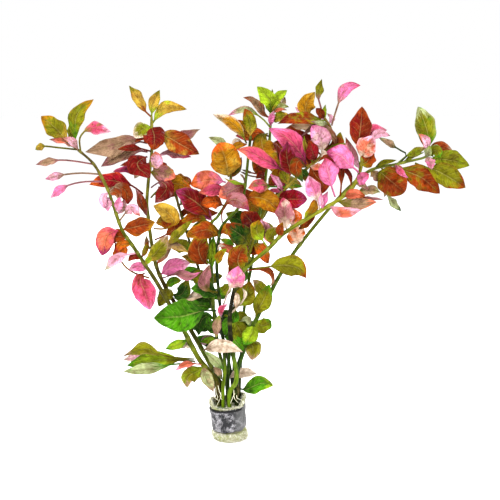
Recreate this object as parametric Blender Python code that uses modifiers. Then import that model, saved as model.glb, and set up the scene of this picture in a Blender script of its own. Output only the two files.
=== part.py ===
"""A bunch of ludwigia ovalis cuttings: ten leafy stems in a plug of plant wool with a lead strip round it."""
import math

import bmesh
import bpy
from mathutils import Vector
from mathutils.bvhtree import BVHTree

MM = 0.001

# The front view: where the eye is and how far it looks down, in mm from the middle of the foot.
EYE = Vector((14.0, -648.0, 247.2))
LOOK_DOWN = math.radians(10.0)

# Stems
FOOT_Z = 9.0
STEM_SIDES = 1
SOCKET_GAP = 0.35
SOCKET_TOP = 44.0

# Leaves
LEAF_THICKNESS = 0.45
STALK_WIDTH = 1.2
FOLD = 0.16
CLEAR_OF_STEM = 0.95
CLEAR_OF_LEAVES = 0.33
SMALL_WIDTH = 7.0
SHORT_LENGTH = 15.0
OWN_LEAVES = 48

# Wool plug: radius and height of its outline, up the outside and down into its hollow top
PLUG_OUTLINE = [(0.0, 0.0), (11.2, 0.0), (12.0, 0.9), (12.1, 4.4), (11.2, 5.9), (9.7, 6.7), (9.8, 8.5),
                (10.1, 23.7), (10.4, 23.9), (12.1, 24.8), (12.5, 26.9), (11.9, 28.3), (10.9, 27.9),
                (10.2, 26.0), (9.0, 24.4), (7.0, 23.9), (0.0, 23.8)]
PLUG_STEPS = 30
LEAN = 0.085
LEAN_FROM = 7.3
RIM_FROM = 23.65
RIM_FRONT = 0.12
RIM_BACK = 0.6
LAP_LIFT = 1.6
LAP_TOWARDS = math.radians(15.0)

# Lead band: one strip wound a little more than once round the plug
BAND_BOTTOM = 7.7
BAND_HEIGHT = 15.6
BAND_SHEET = 1.2
BAND_LAYER_GAP = 0.32
BAND_OUTER = 13.3
BAND_FLARE = 0.7
BAND_END = -42.0
BAND_WRAP = 405.0
BAND_STEPS = 54

# Each stem: its foot in the wool (x, y), its two thicknesses, then where it runs: across and up as the front
# view shows it, and back.
STEMS = {
    "left_stem": ((-6.5, -1.3), 4.2, 1.5, [
        (-9, 36, 0), (-12.5, 43, -1), (-22, 55, -3), (-31, 72, -5), (-42, 92, -7), (-51.8, 109, -8),
        (-59.5, 120.7, -9), (-67.2, 132.4, -10), (-75.7, 145.2, -10), (-82.1, 163.3, -9), (-85.7, 173.4, -9),
        (-94.7, 190, -8), (-104.5, 199.5, -7), (-112, 205, -6)]),
    "second_stem": ((-5.6, 3.6), 3.7, 1.8, [
        (-6, 34, 5), (-10, 43, 6), (-20, 62, 8), (-33, 84, 10), (-45.4, 105.3, 11), (-51.4, 119, 12),
        (-54.7, 134, 12), (-57.6, 156.5, 12), (-58.2, 165.8, 12), (-57, 181, 12), (-54.8, 201, 12),
        (-55, 225, 12)]),
    "dark_stem": ((-4.2, -5.0), 2.6, 1.8, [
        (-5, 32, -4), (-3.6, 48, -4), (-5, 70, -2), (-7.5, 97.2, 0), (-9.3, 122, 1), (-7.5, 141.3, 2),
        (-4.7, 149, 3), (7, 162, 5), (10.5, 176, 6), (13, 198, 8), (14.5, 211, 8)]),
    "middle_stem": ((-1.9, 0.9), 2.7, 1.8, [
        (-2.2, 36, 9), (-8, 62, 10), (-11.5, 90, 11), (-13, 119, 12), (-14, 140, 11), (-13, 149.7, 9),
        (-7.9, 155.4, 8), (0, 171, 8), (0, 200, 8)]),
    "right_stem": ((1.1, -6.4), 3.3, 2.2, [
        (-0.6, 29, -6.5), (4, 38, -9), (4.5, 46, -10), (1, 64, -11), (0, 86, -11), (4, 106, -12),
        (10.2, 117.6, -13), (26.6, 131.6, -14), (39, 143.5, -15), (66.5, 160.3, -15), (79.1, 168.3, -15),
        (87.8, 177.8, -14), (91.5, 188, -13), (93, 199, -13)]),
    "far_right_stem": ((5.7, -3.2), 3.8, 1.6, [
        (4.5, 34, -3), (6, 50, -3), (17.2, 79.8, -3), (27.2, 98.9, -2), (35.3, 113.9, -1), (46.5, 131.4, 0),
        (66.5, 156.4, 3), (84, 175.5, 4), (99, 187, 3), (115.2, 190.8, 1), (129, 193.9, 0), (136.5, 196, 0),
        (140, 200, 0)]),
    "crossing_stem": ((0.1, -2.4), 2.6, 1.9, [
        (-1.5, 34, 0), (0, 65, 2), (4, 95, 4), (11, 120, 5), (18, 143, 6), (25, 160, 6), (31.5, 166.6, 5),
        (47, 182, 5), (55, 189, 5), (63.5, 196.5, 6), (69, 206, 8), (70.7, 215, 9), (65.8, 224, 9)]),
    "top_stem": ((6.0, 2.7), 2.5, 1.6, [
        (6.5, 34, 4), (8, 60, 8), (10, 90, 13), (15, 120, 16), (20, 152, 18), (26, 190, 18),
        (28.3, 217, 18), (28.6, 228, 18)]),
    "back_left_stem": ((1.3, 6.4), 2.5, 1.7, [
        (2, 34, 10), (-3, 62, 17), (-12, 90, 24), (-22, 118, 29), (-30, 142, 32), (-36, 162, 33),
        (-40, 178, 33)]),
    "back_right_stem": ((2.2, 1.4), 2.5, 1.7, [
        (2.4, 34, 6.5), (3, 62, 15), (3.5, 90, 22), (8, 118, 29), (16, 142, 32), (30, 165, 33),
        (43, 189, 32), (48, 202, 31)]),
}

# Each leaf: its path from the stem to the tip as the front view shows it, the width seen, how far the blade
# is turned about its rib, how far the tip comes forward, the share that is stalk, and its three colours.
LEAVES = {
    "left_stem": [
        ([(-112, 205), (-122, 216), (-132.3, 224.7)], 13, 10, 8, 0.12, "gold olive amber"),
        ([(-111, 205), (-111.5, 213), (-112.1, 219.6)], 5.5, 30, 0, 0.10, "olive olive lime"),
        ([(-108, 203), (-107.5, 225), (-95.6, 236.5)], 10, 25, -4, 0.12, "green olive amber"),
        ([(-104.5, 200), (-105, 210), (-97, 216.5), (-83.5, 213.8)], 8, 20, 6, 0.42, "olive rose blush"),
        ([(-105.5, 201), (-111, 207), (-117, 209.5)], 5, 30, 6, 0.10, "taupe blush salmon"),
        ([(-109, 203), (-118, 207), (-126.7, 208.3)], 3.2, 60, 11, 0.15, "taupe salmon mauve"),
        ([(-107, 201), (-120, 202.6), (-131, 203.6), (-136.4, 201.2)], 5.2, 8, 2, 0.74, "olive gold olive"),
        ([(-96, 190.5), (-108, 193), (-120, 193.8), (-136.2, 190.7)], 5, 35, 6, 0.58, "mauve taupe mauve"),
        ([(-91.5, 184), (-104, 184.8), (-117, 183.6), (-129.5, 180.6)],
         5.4, 15, -4, 0.62, "taupe blush pink"),
        ([(-89, 179), (-104, 178.5), (-116, 175), (-126, 167.3)], 5.6, 20, 8, 0.60, "mauve pink blush"),
        ([(-85.5, 173), (-79, 175.5), (-72.5, 171), (-71.5, 162.8)],
         9.5, 20, -6, 0.20, "taupe rust crimson"),
        ([(-85, 172), (-79.5, 171), (-77.5, 166)], 6, 20, 5, 0.06, "taupe rust taupe"),
        ([(-80.5, 158), (-78.5, 161), (-77, 168)], 6, 25, 8, 0.10, "blush pink pink"),
        ([(-81.8, 163.3), (-85.5, 165.5), (-85.5, 158)], 5.5, 25, 7, 0.10, "blush blush pink"),
        ([(-75.7, 145.2), (-64, 147.5), (-52.4, 150.4)], 12, 10, 10, 0.08, "rust rust amber"),
        ([(-77.5, 151), (-73, 157), (-68, 160), (-63, 154.5)], 6.5, 20, 4, 0.30, "taupe blush salmon"),
        ([(-76, 145), (-86, 141), (-89.5, 127)], 12.5, 10, 8, 0.06, "rose salmon plum"),
        ([(-72, 139.5), (-80, 140), (-87.3, 137.2)], 8.5, 30, 2, 0.08, "rust rust orange"),
        ([(-52.6, 110), (-68, 115.4), (-75.5, 122), (-77, 129), (-80.5, 136)],
         10, 20, 10, 0.60, "amber orange crimson"),
        ([(-66, 128.5), (-77, 126), (-88, 116.5)], 7, 25, 12, 0.25, "blush blush sage"),
        ([(-62, 124.5), (-67, 126.5), (-71.5, 123)], 4.6, 25, 5, 0.10, "rust wine rust"),
        ([(-57, 117.5), (-64.5, 119), (-71, 117)], 7, 20, 4, 0.10, "blush pink blush"),
        ([(-56.5, 117.5), (-63, 111), (-59.5, 101), (-56, 89)], 15, 5, 12, 0.08, "rust rose pink"),
        ([(-60, 121), (-57, 124), (-53.5, 124.5)], 4.8, 25, 3, 0.10, "gold lime gold"),
        ([(-60, 121.5), (-51, 130), (-43.5, 141)], 10, 15, 4, 0.10, "gold olive taupe"),
        ([(-25.5, 63), (-31, 64.8), (-36.5, 63)], 5.5, 25, 4, 0.10, "sage cream taupe"),
        ([(-29, 69), (-36, 65), (-45.5, 61.5)], 6.5, 20, 6, 0.10, "green lime green"),
        ([(-20, 52.5), (-32, 53.5), (-50, 53.8), (-72.5, 50)], 12.5, 10, 10, 0.22, "olive lime green"),
        ([(-21.5, 54.5), (-36, 55), (-50, 58), (-60, 61.5), (-75, 56.5)],
         7.5, 30, 2, 0.45, "olive olive taupe"),
        ([(-19.5, 51.5), (-38, 51), (-52, 48.5), (-63, 47), (-75, 45.8)],
         8, 20, 16, 0.40, "green sage sage"),
        ([(-22, 53.5), (-42, 56), (-58, 57), (-75, 54)], 8.5, 20, -3, 0.45, "olive blush cream"),
        ([(-19, 50.5), (-30, 51), (-38.5, 46.5)], 4.6, 30, 13, 0.30, "salmon salmon blush"),
        ([(-18, 49.5), (-22.5, 46), (-29.5, 41.5), (-30, 34.5)], 11, 10, 10, 0.12, "lime olive taupe"),
        ([(-19, 50.5), (-17, 43), (-11.5, 31.5)], 8, 15, 9, 0.10, "taupe sage taupe"),
        ([(-70, 134), (-76, 134.5), (-79.5, 129)], 6.5, 15, 6, 0.10, "amber orange crimson"),
        ([(-13.5, 44), (-9.5, 47.5), (-5.5, 40)], 5.5, 15, 8, 0.10, "dark taupe dark"),
        ([(-62.5, 125), (-59.5, 130), (-57.5, 137)], 4, 20, -3, 0.10, "rust olive rust"),
        ([(-79.5, 155.5), (-75.5, 160), (-74, 167)], 5, 20, -3, 0.10, "blush taupe rust"),
        ([(-85.3, 171.5), (-89, 167.5), (-88, 160)], 5.5, 20, 5, 0.10, "blush blush pink"),
    ],
    "second_stem": [
        ([(-55, 224), (-60, 229), (-63.5, 236), (-70.6, 246.1)], 7.5, 30, 4, 0.18, "rust gold olive"),
        ([(-55, 225), (-53.5, 234), (-49.3, 243)], 7.5, 15, 0, 0.10, "lime gold olive"),
        ([(-54.8, 219), (-45, 230.8), (-30.2, 229.5)], 8, 20, -4, 0.14, "lime gold amber"),
        ([(-55, 217), (-61, 215.5), (-67, 209.5)], 10.5, 15, 6, 0.08, "lime olive cream"),
        ([(-54.8, 217), (-53, 210), (-53.5, 201)], 15, 0, 12, 0.05, "wine wine rust"),
        ([(-55, 211), (-61, 210.5), (-66.5, 206.5)], 4.5, 25, 9, 0.10, "rust wine rust"),
        ([(-55, 211), (-44, 210), (-34, 204.5), (-21.5, 198)], 15, 10, 8, 0.15, "gold rust wine"),
        ([(-55, 209), (-46, 209.5), (-34, 210.5), (-21, 215.5)], 7, 45, -6, 0.20, "olive mauve taupe"),
        ([(-55.5, 191), (-50.6, 196.5), (-42, 199), (-27, 196)], 5.8, 48, -8, 0.25, "blush mauve rose"),
        ([(-55, 205), (-68, 207), (-84, 203), (-101.5, 199.5)], 13, 15, 8, 0.15, "mauve taupe taupe"),
        ([(-55, 199), (-66, 200.5), (-77, 197.5), (-90.5, 189.3)], 9.5, 20, 2, 0.15, "mauve taupe mauve"),
        ([(-56.2, 198), (-65, 191.5), (-56.5, 181.5)], 15, 10, 13, 0.08, "wine wine wine"),
        ([(-56, 191), (-67, 193), (-77, 190)], 4.8, 30, 7, 0.15, "wine crimson rust"),
        ([(-56.7, 184), (-70, 187.5), (-82, 186)], 6, 30, 4, 0.20, "plum plum rose"),
        ([(-56.7, 183), (-63, 186), (-67, 181)], 6, 25, 10, 0.10, "taupe cream taupe"),
        ([(-56, 189), (-51.5, 193), (-52.5, 200)], 9, 10, 6, 0.10, "gold blush salmon"),
        ([(-56.5, 185.5), (-47, 184.8), (-38, 182)], 11.5, 10, 8, 0.10, "olive mauve salmon"),
        ([(-57.5, 173), (-49, 178.5), (-44.5, 174), (-52.5, 163.8)], 11, 10, 13, 0.22, "mauve wine wine"),
        ([(-58, 168), (-70, 176.5), (-86, 179.5), (-98.7, 176.7)], 11, 15, 16, 0.25, "wine crimson orange"),
        ([(-57.5, 152.5), (-61.5, 163), (-66.2, 173.5)], 6, 35, 6, 0.15, "mauve rust mauve"),
        ([(-57, 146), (-45, 146), (-39, 151), (-45.5, 158.5), (-54, 162)],
         12, 8, 14, 0.38, "amber gold gold"),
        ([(-55.3, 137), (-46, 141), (-37, 146.5), (-28, 151.5)], 10.5, 12, 10, 0.30, "rust rust orange"),
        ([(-51.8, 120), (-48, 126), (-44, 132), (-41, 138.5)], 7, 30, 7, 0.12, "salmon taupe rust"),
        ([(-54, 131), (-44, 135.5), (-36, 142), (-26, 152)], 6.5, 40, 17, 0.30, "gold olive olive"),
        ([(-53.5, 128), (-47, 131.5), (-39, 134), (-29, 129)], 4.8, 30, 10, 0.30, "gold taupe gold"),
        ([(-49, 113.5), (-40, 119), (-28, 121.5)], 12.5, 10, 6, 0.10, "pink pink blush"),
        ([(-48, 111), (-36, 114.5), (-28, 112), (-20.5, 115.5)], 5.6, 35, 11, 0.30, "mauve mauve pink"),
        ([(-42.8, 106.5), (-45, 100), (-50, 91.5)], 10.5, 10, 15, 0.08, "olive olive olive"),
        ([(-45, 104), (-38, 99), (-33, 101), (-29, 110.5)], 10.5, 15, 7, 0.25, "dark dark olive"),
        ([(-57.6, 164.5), (-51, 172), (-41, 177.5), (-27, 174.5)], 11, 12, -2, 0.30, "olive amber orange"),
        ([(-19, 61), (-12, 63), (-3, 63.5), (9, 59.5)], 10, 12, 18, 0.10, "taupe cream cream"),
        ([(-21, 64.5), (-16, 68.3), (-10.5, 68)], 6, 20, 12, 0.10, "blush taupe taupe"),
        ([(-55.3, 200), (-66, 202.4), (-79, 201.5)], 4.6, 20, 13, 0.30, "wine wine rust"),
        ([(-54, 131), (-58, 134), (-58.5, 141)], 3.6, 25, 4, 0.15, "olive taupe olive"),
        ([(-45.5, 104.5), (-41, 108.5), (-34, 109.5)], 7, 15, 5, 0.10, "olive green olive"),
    ],
    "dark_stem": [
        ([(-7, 88), (-18, 88.5), (-35, 84.3), (-53.5, 83.3)], 21.5, 5, 10, 0.20, "dark green green"),
        ([(-8, 101.5), (-14, 102.5), (-23, 98.8), (-37, 95.5)], 5.4, 40, 17, 0.12, "cream cream gold"),
        ([(-7.6, 98), (-18, 103.5), (-27.5, 104)], 11, 10, 5, 0.15, "dark dark green"),
        ([(-8, 101), (-15, 103), (-18, 110), (-14.5, 121)], 8.5, 20, 9, 0.22, "olive mauve mauve"),
        ([(-7.5, 141), (-17, 145), (-31, 140.5)], 11.5, 15, 12, 0.08, "amber rust amber"),
        ([(-7.2, 142.5), (-1, 145.5), (6.5, 141.5)], 8, 20, 11, 0.10, "rust amber rust"),
        ([(-9.2, 130), (-7.5, 133.5), (-3, 133.6)], 2.2, 30, 4, 0.10, "cream cream cream"),
        ([(-9.2, 120), (-7, 127), (-2.5, 132)], 6, 20, 3, 0.10, "lime amber lime"),
        ([(-8, 100), (-3, 103), (1, 107)], 7.5, 15, 4, 0.10, "green olive green"),
        ([(-8, 136), (-3, 133), (4.5, 130)], 6.5, 20, 6, 0.10, "orange salmon rust"),
        ([(-7.7, 139), (-3, 137.3), (3.5, 134)], 4.2, 30, 7, 0.10, "olive green olive"),
        ([(-6.4, 87), (-3, 97), (0.3, 104.5), (4.5, 112), (6, 119.8)], 13, 5, 17, 0.50, "cream pink pink"),
        ([(-6, 83), (-6.5, 88.5), (-1.5, 93.5)], 4.4, 20, 9, 0.12, "blush rose blush"),
        ([(-6.3, 87), (-9, 80), (-9.7, 69.5)], 6, 22, 9, 0.15, "lime taupe mauve"),
        ([(-6.2, 85.5), (0, 84), (6, 76), (11.5, 65)], 11.5, 10, 15, 0.25, "lime olive olive"),
        ([(-3.7, 46.5), (-10, 53), (-18, 60)], 6, 25, 10, 0.08, "green sage sage"),
        ([(10.5, 176), (3, 173.5), (-8, 168)], 13.5, 10, 15, 0.08, "rust mauve salmon"),
        ([(10.6, 177), (2, 178.3), (-4, 181.2)], 2.4, 30, 17, 0.10, "lime lime gold"),
        ([(-5.3, 147.5), (-5.5, 158), (0.5, 166), (7, 165), (13.5, 158.5)],
         10.5, 12, 17, 0.42, "rust mauve plum"),
        ([(8, 165), (16, 167.8), (26, 165.5), (36.8, 156)], 14, 8, 11, 0.06, "rust amber rust"),
        ([(13, 202), (6, 216), (-3, 222.5), (-12, 226)], 8.5, 15, 8, 0.16, "olive amber cream"),
        ([(14, 207), (9.5, 216.5), (4, 222.3)], 7.5, 20, 4, 0.14, "rust amber rust"),
        ([(14.4, 210), (14, 220), (10.3, 230)], 9.5, 5, 1, 0.08, "gold olive rust"),
        ([(10.7, 178), (9.5, 181.5), (7, 184.2)], 1.4, 30, 6, 0.50, "taupe taupe taupe"),
    ],
    "middle_stem": [
        ([(-13, 121), (-22, 125), (-34, 126.5)], 8, 32, 10, 0.10, "lime olive gold"),
        ([(-13, 119), (-19.5, 124), (-22, 133), (-17, 142)], 15, 5, 15, 0.10, "rust rust olive"),
        ([(-13, 117), (-12.3, 128), (-11.5, 141)], 6.5, 18, 6, 0.06, "green lime green"),
        ([(-12, 151), (-20, 161), (-29, 168), (-38, 172.5)], 16, 5, 12, 0.12, "rust wine plum"),
        ([(-13, 149.5), (-23, 153.8), (-34, 150.8)], 8, 20, 17, 0.18, "olive rust amber"),
        ([(-12, 151), (-18, 156), (-24.5, 158)], 6.5, 25, 7, 0.12, "pink plum pink"),
        ([(0, 177.5), (-12, 180), (-28, 177)], 14, 10, 0, 0.14, "pink salmon orange"),
        ([(0, 171.5), (-11, 173), (-22, 171)], 8.5, 18, 7, 0.15, "crimson rose salmon"),
        ([(-4.5, 162), (-10.5, 165), (-20.5, 163)], 10, 12, 5, 0.10, "rust orange rust"),
        ([(0, 178), (-1.5, 185), (-3, 194), (-7.5, 206)], 21, 4, 11, 0.10, "gold amber orange"),
        ([(0, 198), (-6, 206), (-15, 210)], 6.5, 30, 6, 0.10, "olive sage sage"),
        ([(0, 199), (4, 208), (9, 206)], 2.2, 30, 2, 0.20, "cream cream taupe"),
        ([(-10.5, 82), (-17, 84.5), (-21, 79), (-22, 71)], 8.5, 15, 6, 0.10, "green dark dark"),
        ([(-11.5, 94), (-20, 99.5), (-29, 98)], 10, 10, 2, 0.12, "dark dark dark"),
        ([(-12, 104), (-20, 111), (-29, 115)], 11, 10, 5, 0.12, "olive olive dark"),
        ([(-8.4, 64), (-14, 67.5), (-21, 66.5)], 5.5, 15, 9, 0.10, "green lime green"),
        ([(-9.3, 74), (-14, 77.5), (-16, 87)], 5, 15, 11, 0.10, "dark green dark"),
        ([(0, 181), (4, 187), (8, 196)], 6.5, 15, 2, 0.10, "rust dark rust"),
        ([(0, 198.5), (5, 204), (12, 205)], 5, 20, 4, 0.15, "olive amber rust"),
    ],
    "right_stem": [
        ([(27, 132), (22.5, 138), (18.5, 144), (20, 152)], 11, 22, -5, 0.30, "lime olive amber"),
        ([(29, 134), (25.5, 143), (22, 152.5)], 8.5, 18, -9, 0.12, "salmon mauve blush"),
        ([(31, 136), (28.5, 141), (33.5, 146.8)], 7.5, 20, -6, 0.10, "olive olive taupe"),
        ([(10.5, 117.2), (24, 118.8), (37, 120.3), (48, 118), (53.5, 111)],
         14, 4, 6, 0.30, "olive olive rust"),
        ([(9.8, 116.5), (18, 117.3), (27, 116.5), (30.5, 110), (27.5, 104.5)],
         4, 35, -6, 0.25, "rust rust taupe"),
        ([(0, 84), (5, 91), (11, 99.5), (14, 109)], 13, 10, -7, 0.20, "lime olive amber"),
        ([(9.5, 117), (5.5, 122), (7, 129), (11.5, 134)], 14, 5, 5, 0.06, "olive rust olive"),
        ([(3.7, 105.5), (1, 114), (1.8, 124)], 6, 30, -3, 0.08, "rust rust amber"),
        ([(2.8, 102), (5.2, 98), (3.8, 90.5)], 4.6, 18, 4, 0.10, "taupe cream taupe"),
        ([(0.2, 86), (8, 94), (10.8, 100), (8.5, 104.5)], 2.4, 20, 5, 0.60, "cream cream sage"),
        ([(0, 86), (-2.5, 79), (-3, 69.5)], 5.4, 20, -5, 0.10, "dark green dark"),
        ([(0.5, 72), (4, 66.5), (9, 60.5)], 9, 15, 3, 0.10, "olive green green"),
        ([(0.2, 79), (3.3, 83.5), (4, 88.8)], 6.5, 15, -5, 0.10, "dark green green"),
        ([(51, 151), (58.5, 160), (61.5, 169.5)], 7, 22, -5, 0.06, "lime amber rust"),
        ([(61, 156.8), (55, 150.5), (48, 145.5)], 6, 35, -6, 0.08, "rust rust amber"),
        ([(63, 158), (61.5, 165), (58, 174), (55, 183)], 11, 5, 6, 0.28, "cream pink blush"),
        ([(64, 158.8), (65.5, 164), (68.5, 172)], 4.8, 25, 1, 0.12, "pink pink mauve"),
        ([(74.5, 165.5), (71, 176), (69, 185), (66.5, 195.5)], 13, 15, 6, 0.28, "pink pink rose"),
        ([(77, 167), (78, 180), (76, 190.5), (68, 196.5), (61.5, 192.5)],
         4.8, 35, -3, 0.18, "rust wine rust"),
        ([(88.5, 179.5), (90, 185), (84, 190.5), (77, 197.5), (67.5, 199.5)],
         14, 12, 7, 0.18, "pink pink plum"),
        ([(88.5, 179.5), (92.5, 181), (97.3, 184)], 8, 15, 9, 0.08, "pink pink rose"),
        ([(85, 174.7), (83.8, 183), (77, 192)], 3.2, 45, -4, 0.12, "rust wine rust"),
        ([(87.5, 177.5), (92, 176.7), (96.8, 173.5)], 3.6, 30, 3, 0.10, "mauve taupe mauve"),
        ([(79, 168.2), (86, 170.3), (94.8, 168.8)], 7, 20, 5, 0.08, "rust salmon rust"),
        ([(81, 170), (92, 171.8), (99, 172.7), (105.5, 171.3)], 6.5, 40, -1, 0.35, "olive taupe sage"),
        ([(80, 169), (95, 167.5), (107.5, 166.2)], 2.4, 30, 2, 0.40, "rust mauve mauve"),
        ([(74, 165), (88, 163.3), (103, 164.5)], 9, 18, 8, 0.10, "olive taupe salmon"),
        ([(69, 161.8), (79, 157.2), (92, 158.8)], 7.5, 10, 12, 0.08, "blush salmon blush"),
        ([(40, 144.3), (38.3, 150), (38.5, 157.5), (37, 167.5)], 13, 8, -6, 0.14, "cream mauve rose"),
        ([(43, 146), (45.5, 153), (41, 161)], 9.5, 15, -10, 0.08, "cream orange rust"),
        ([(93, 198), (90.3, 206), (91.5, 217), (92.5, 231.5)], 14, 4, -2, 0.10, "rust wine rust"),
        ([(92.6, 195), (94.5, 201.5), (100.5, 210.8)], 13, 5, 8, 0.05, "cream salmon blush"),
        ([(93, 198.5), (95, 207), (99, 211.5)], 4.5, 25, 10, 0.15, "gold lime gold"),
        ([(93, 199), (98.5, 213.5), (110, 215)], 9, 15, -6, 0.35, "rose rose blush"),
        ([(93, 198), (103, 212), (112.3, 211)], 6, 25, -2, 0.40, "blush blush mauve"),
        ([(92, 191), (96, 193), (100.3, 200)], 9.5, 12, 3, 0.05, "olive rust rust"),
        ([(91.3, 188), (87.5, 193), (85.5, 197.3)], 4.6, 20, -3, 0.10, "lime green lime"),
        ([(34.5, 139.3), (35, 145), (37, 150.5)], 5.5, 15, 4, 0.08, "rust rust amber"),
        ([(91, 187), (86, 197), (81, 210)], 6.5, 15, -4, 0.08, "blush mauve rust"),
        ([(65.3, 159.7), (63.6, 165), (64.3, 171)], 3.5, 15, 5, 0.10, "pink blush pink"),
    ],
    "far_right_stem": [
        ([(16.8, 79), (19, 88), (24, 97), (27.5, 107)], 12, 4, 8, 0.06, "olive olive green"),
        ([(16.5, 78.5), (15, 72.5), (9.8, 64.3)], 11, 8, 8, 0.06, "lime lime green"),
        ([(17.5, 80.5), (23, 78), (28.7, 81.4)], 10.5, 10, 4, 0.06, "lime olive green"),
        ([(11, 64), (16, 63.5), (15.5, 53.8)], 11, 10, 4, 0.06, "olive olive taupe"),
        ([(15.5, 76), (12, 82.5), (6.8, 80.8)], 4.6, 25, -4, 0.12, "dark sage sage"),
        ([(4.3, 32), (12, 33.5), (22, 37.6), (30.3, 36)], 11.5, 10, 6, 0.12, "dark green lime"),
        ([(49, 135), (46, 141.5), (43.5, 149.5)], 12, 8, 5, 0.10, "cream orange amber"),
        ([(98.3, 186.4), (101.5, 184), (103.5, 179)], 6, 35, 3, 0.10, "gold taupe mauve"),
        ([(101, 187.8), (105, 185.5), (113, 179), (122.3, 171.3)], 19, 4, 9, 0.03, "olive rust rust"),
        ([(114, 190.8), (117.5, 187), (121, 180)], 7.5, 12, 4, 0.05, "sage salmon rose"),
        ([(106, 189.3), (111, 178), (108, 168)], 7, 20, -5, 0.20, "olive sage taupe"),
        ([(110, 190.3), (109, 176), (111.5, 167.5), (120, 158)], 5, 30, -3, 0.58, "sage sage dark"),
        ([(117, 191.2), (124.5, 197.3), (131, 200), (137.5, 203.3)], 5.4, 30, 6, 0.35, "lime olive taupe"),
        ([(118, 191.5), (124, 197.3), (120, 200.3), (113, 204.5), (104.5, 209.5)],
         4.2, 35, 9, 0.55, "dark taupe sage"),
        ([(113, 191), (123, 186.3), (135, 181), (147, 170.5)], 16, 4, 7, 0.12, "olive rust rust"),
        ([(115.5, 191), (121, 184), (124.8, 181.5)], 4.4, 20, 3, 0.15, "pink rose pink"),
        ([(126, 193.2), (134, 190), (149, 184.5), (165, 174.5)], 15, 6, 11, 0.24, "olive olive rust"),
        ([(136, 195.8), (145, 194.5), (155, 193.8), (167.7, 190)], 13, 8, 4, 0.10, "lime olive olive"),
        ([(139, 198.5), (146, 202.8), (156.3, 199.8)], 8.5, 12, -3, 0.06, "olive rust taupe"),
        ([(138.5, 198), (144, 200.5), (147, 195.5)], 8, 15, 8, 0.06, "green olive green"),
        ([(139.7, 199.5), (139.3, 208), (136.7, 219), (131.7, 231.3)],
         13.5, 4, -1, 0.08, "green olive sage"),
        ([(138.5, 198.3), (137.5, 207), (132.2, 212.4)], 5.5, 18, 5, 0.15, "cream blush salmon"),
        ([(138.3, 198), (135.7, 205), (132, 210.8)], 1.8, 30, 8, 0.20, "rust rust rust"),
        ([(137, 196.4), (138.8, 199.5), (140, 204)], 5.5, 10, 8, 0.05, "sage sage lime"),
        ([(137.5, 197), (140.3, 192.3), (141.3, 187.4)], 6, 12, 9, 0.08, "sage pink pink"),
        ([(27.5, 99.5), (23, 103), (16, 110)], 9, 12, 5, 0.06, "olive olive taupe"),
        ([(100, 188), (107, 192), (117, 194)], 3.5, 20, 4, 0.10, "dark olive olive"),
        ([(121, 192.5), (128, 196.8), (136, 199.3)], 3.2, 20, 3, 0.10, "lime olive lime"),
    ],
    "crossing_stem": [
        ([(19, 145), (15, 150.5), (8.5, 158)], 14.5, 5, 12, 0.05, "rust wine rust"),
        ([(14.5, 132), (9, 140), (-3, 148.5)], 15, 4, 17, 0.06, "olive dark rust"),
        ([(15.5, 135.5), (20.5, 132.5), (24, 127), (27, 121.3)], 9, 12, 5, 0.08, "olive orange rust"),
        ([(13.5, 129), (7.5, 135), (1, 138.7)], 6.5, 20, 9, 0.10, "rust plum pink"),
        ([(-1.2, 41), (4, 44), (11, 45), (18.7, 44.3)], 7.5, 12, 14, 0.08, "cream cream cream"),
        ([(56, 189.8), (60, 183), (65, 177.5), (63.3, 169.8)], 12, 8, 8, 0.06, "rust rust wine"),
        ([(56, 190), (61, 188.8), (68, 189)], 5, 20, 13, 0.06, "cream salmon salmon"),
        ([(33, 168), (41, 166.5), (54, 166.5)], 14.5, 4, 8, 0.05, "wine crimson plum"),
        ([(38, 173.2), (34.5, 178.5), (29, 181)], 7, 15, 6, 0.08, "crimson plum crimson"),
        ([(37, 172.2), (32.5, 180), (27.8, 184.3)], 4.4, 20, 10, 0.12, "pink blush pink"),
        ([(41, 176), (38.3, 182), (34, 188)], 7, 18, 3, 0.10, "gold olive rust"),
        ([(36, 171.2), (31.5, 172.6), (26.5, 172)], 3, 20, 5, 0.08, "pink rose pink"),
        ([(40, 175.2), (28.5, 175.4), (20, 176), (12.5, 174.3)], 9, 8, 6, 0.42, "green rose salmon"),
        ([(40.5, 175.6), (46, 175.9), (51, 175.4)], 2.4, 20, -3, 0.30, "lime green lime"),
        ([(48, 183), (37, 187), (25, 193.5), (14, 199.5), (4.5, 201.5)],
         11, 12, 16, 0.25, "plum rose salmon"),
        ([(54.5, 188.8), (49.5, 198.5), (40.5, 209), (27, 216.3)], 13, 6, 11, 0.05, "plum rose pink"),
        ([(50, 184.8), (42.5, 188), (39.8, 196), (40, 207)], 11.5, 12, 15, 0.15, "wine wine plum"),
        ([(54, 188.3), (48, 193), (46.5, 187), (51, 178.5)], 10, 10, 19, 0.12, "dark rust dark"),
        ([(55.5, 190), (54.3, 198), (50.5, 207.8)], 5, 35, 6, 0.06, "wine rust wine"),
        ([(63.5, 197), (64.3, 202), (63, 209.5), (57.5, 218)], 14, 6, 8, 0.10, "cream blush pink"),
        ([(60, 193.8), (57.5, 200), (55.5, 208)], 9.5, 12, 14, 0.06, "wine crimson rust"),
        ([(58, 192), (52.7, 203), (52, 211)], 3.2, 30, 12, 0.25, "lime gold lime"),
        ([(66.5, 201), (74, 205.5), (70, 212.5), (60, 217.3), (49, 210)],
         5.6, 30, 1, 0.10, "rust taupe mauve"),
        ([(67, 202), (75, 205), (77.4, 213.6)], 8, 10, -1, 0.10, "rust rust olive"),
        ([(65, 199), (76, 203.8), (86.5, 202)], 5, 45, 3, 0.15, "olive olive rust"),
        ([(63.3, 196.4), (65.5, 198.5), (69, 198)], 4, 20, 13, 0.06, "cream cream cream"),
        ([(67.3, 221.5), (56, 222.3), (43, 222.8), (33.3, 219.3)], 8.5, 30, 10, 0.10, "lime rust wine"),
        ([(66, 223.5), (57.5, 223), (53, 228), (54, 235), (59.5, 241.7)],
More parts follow.
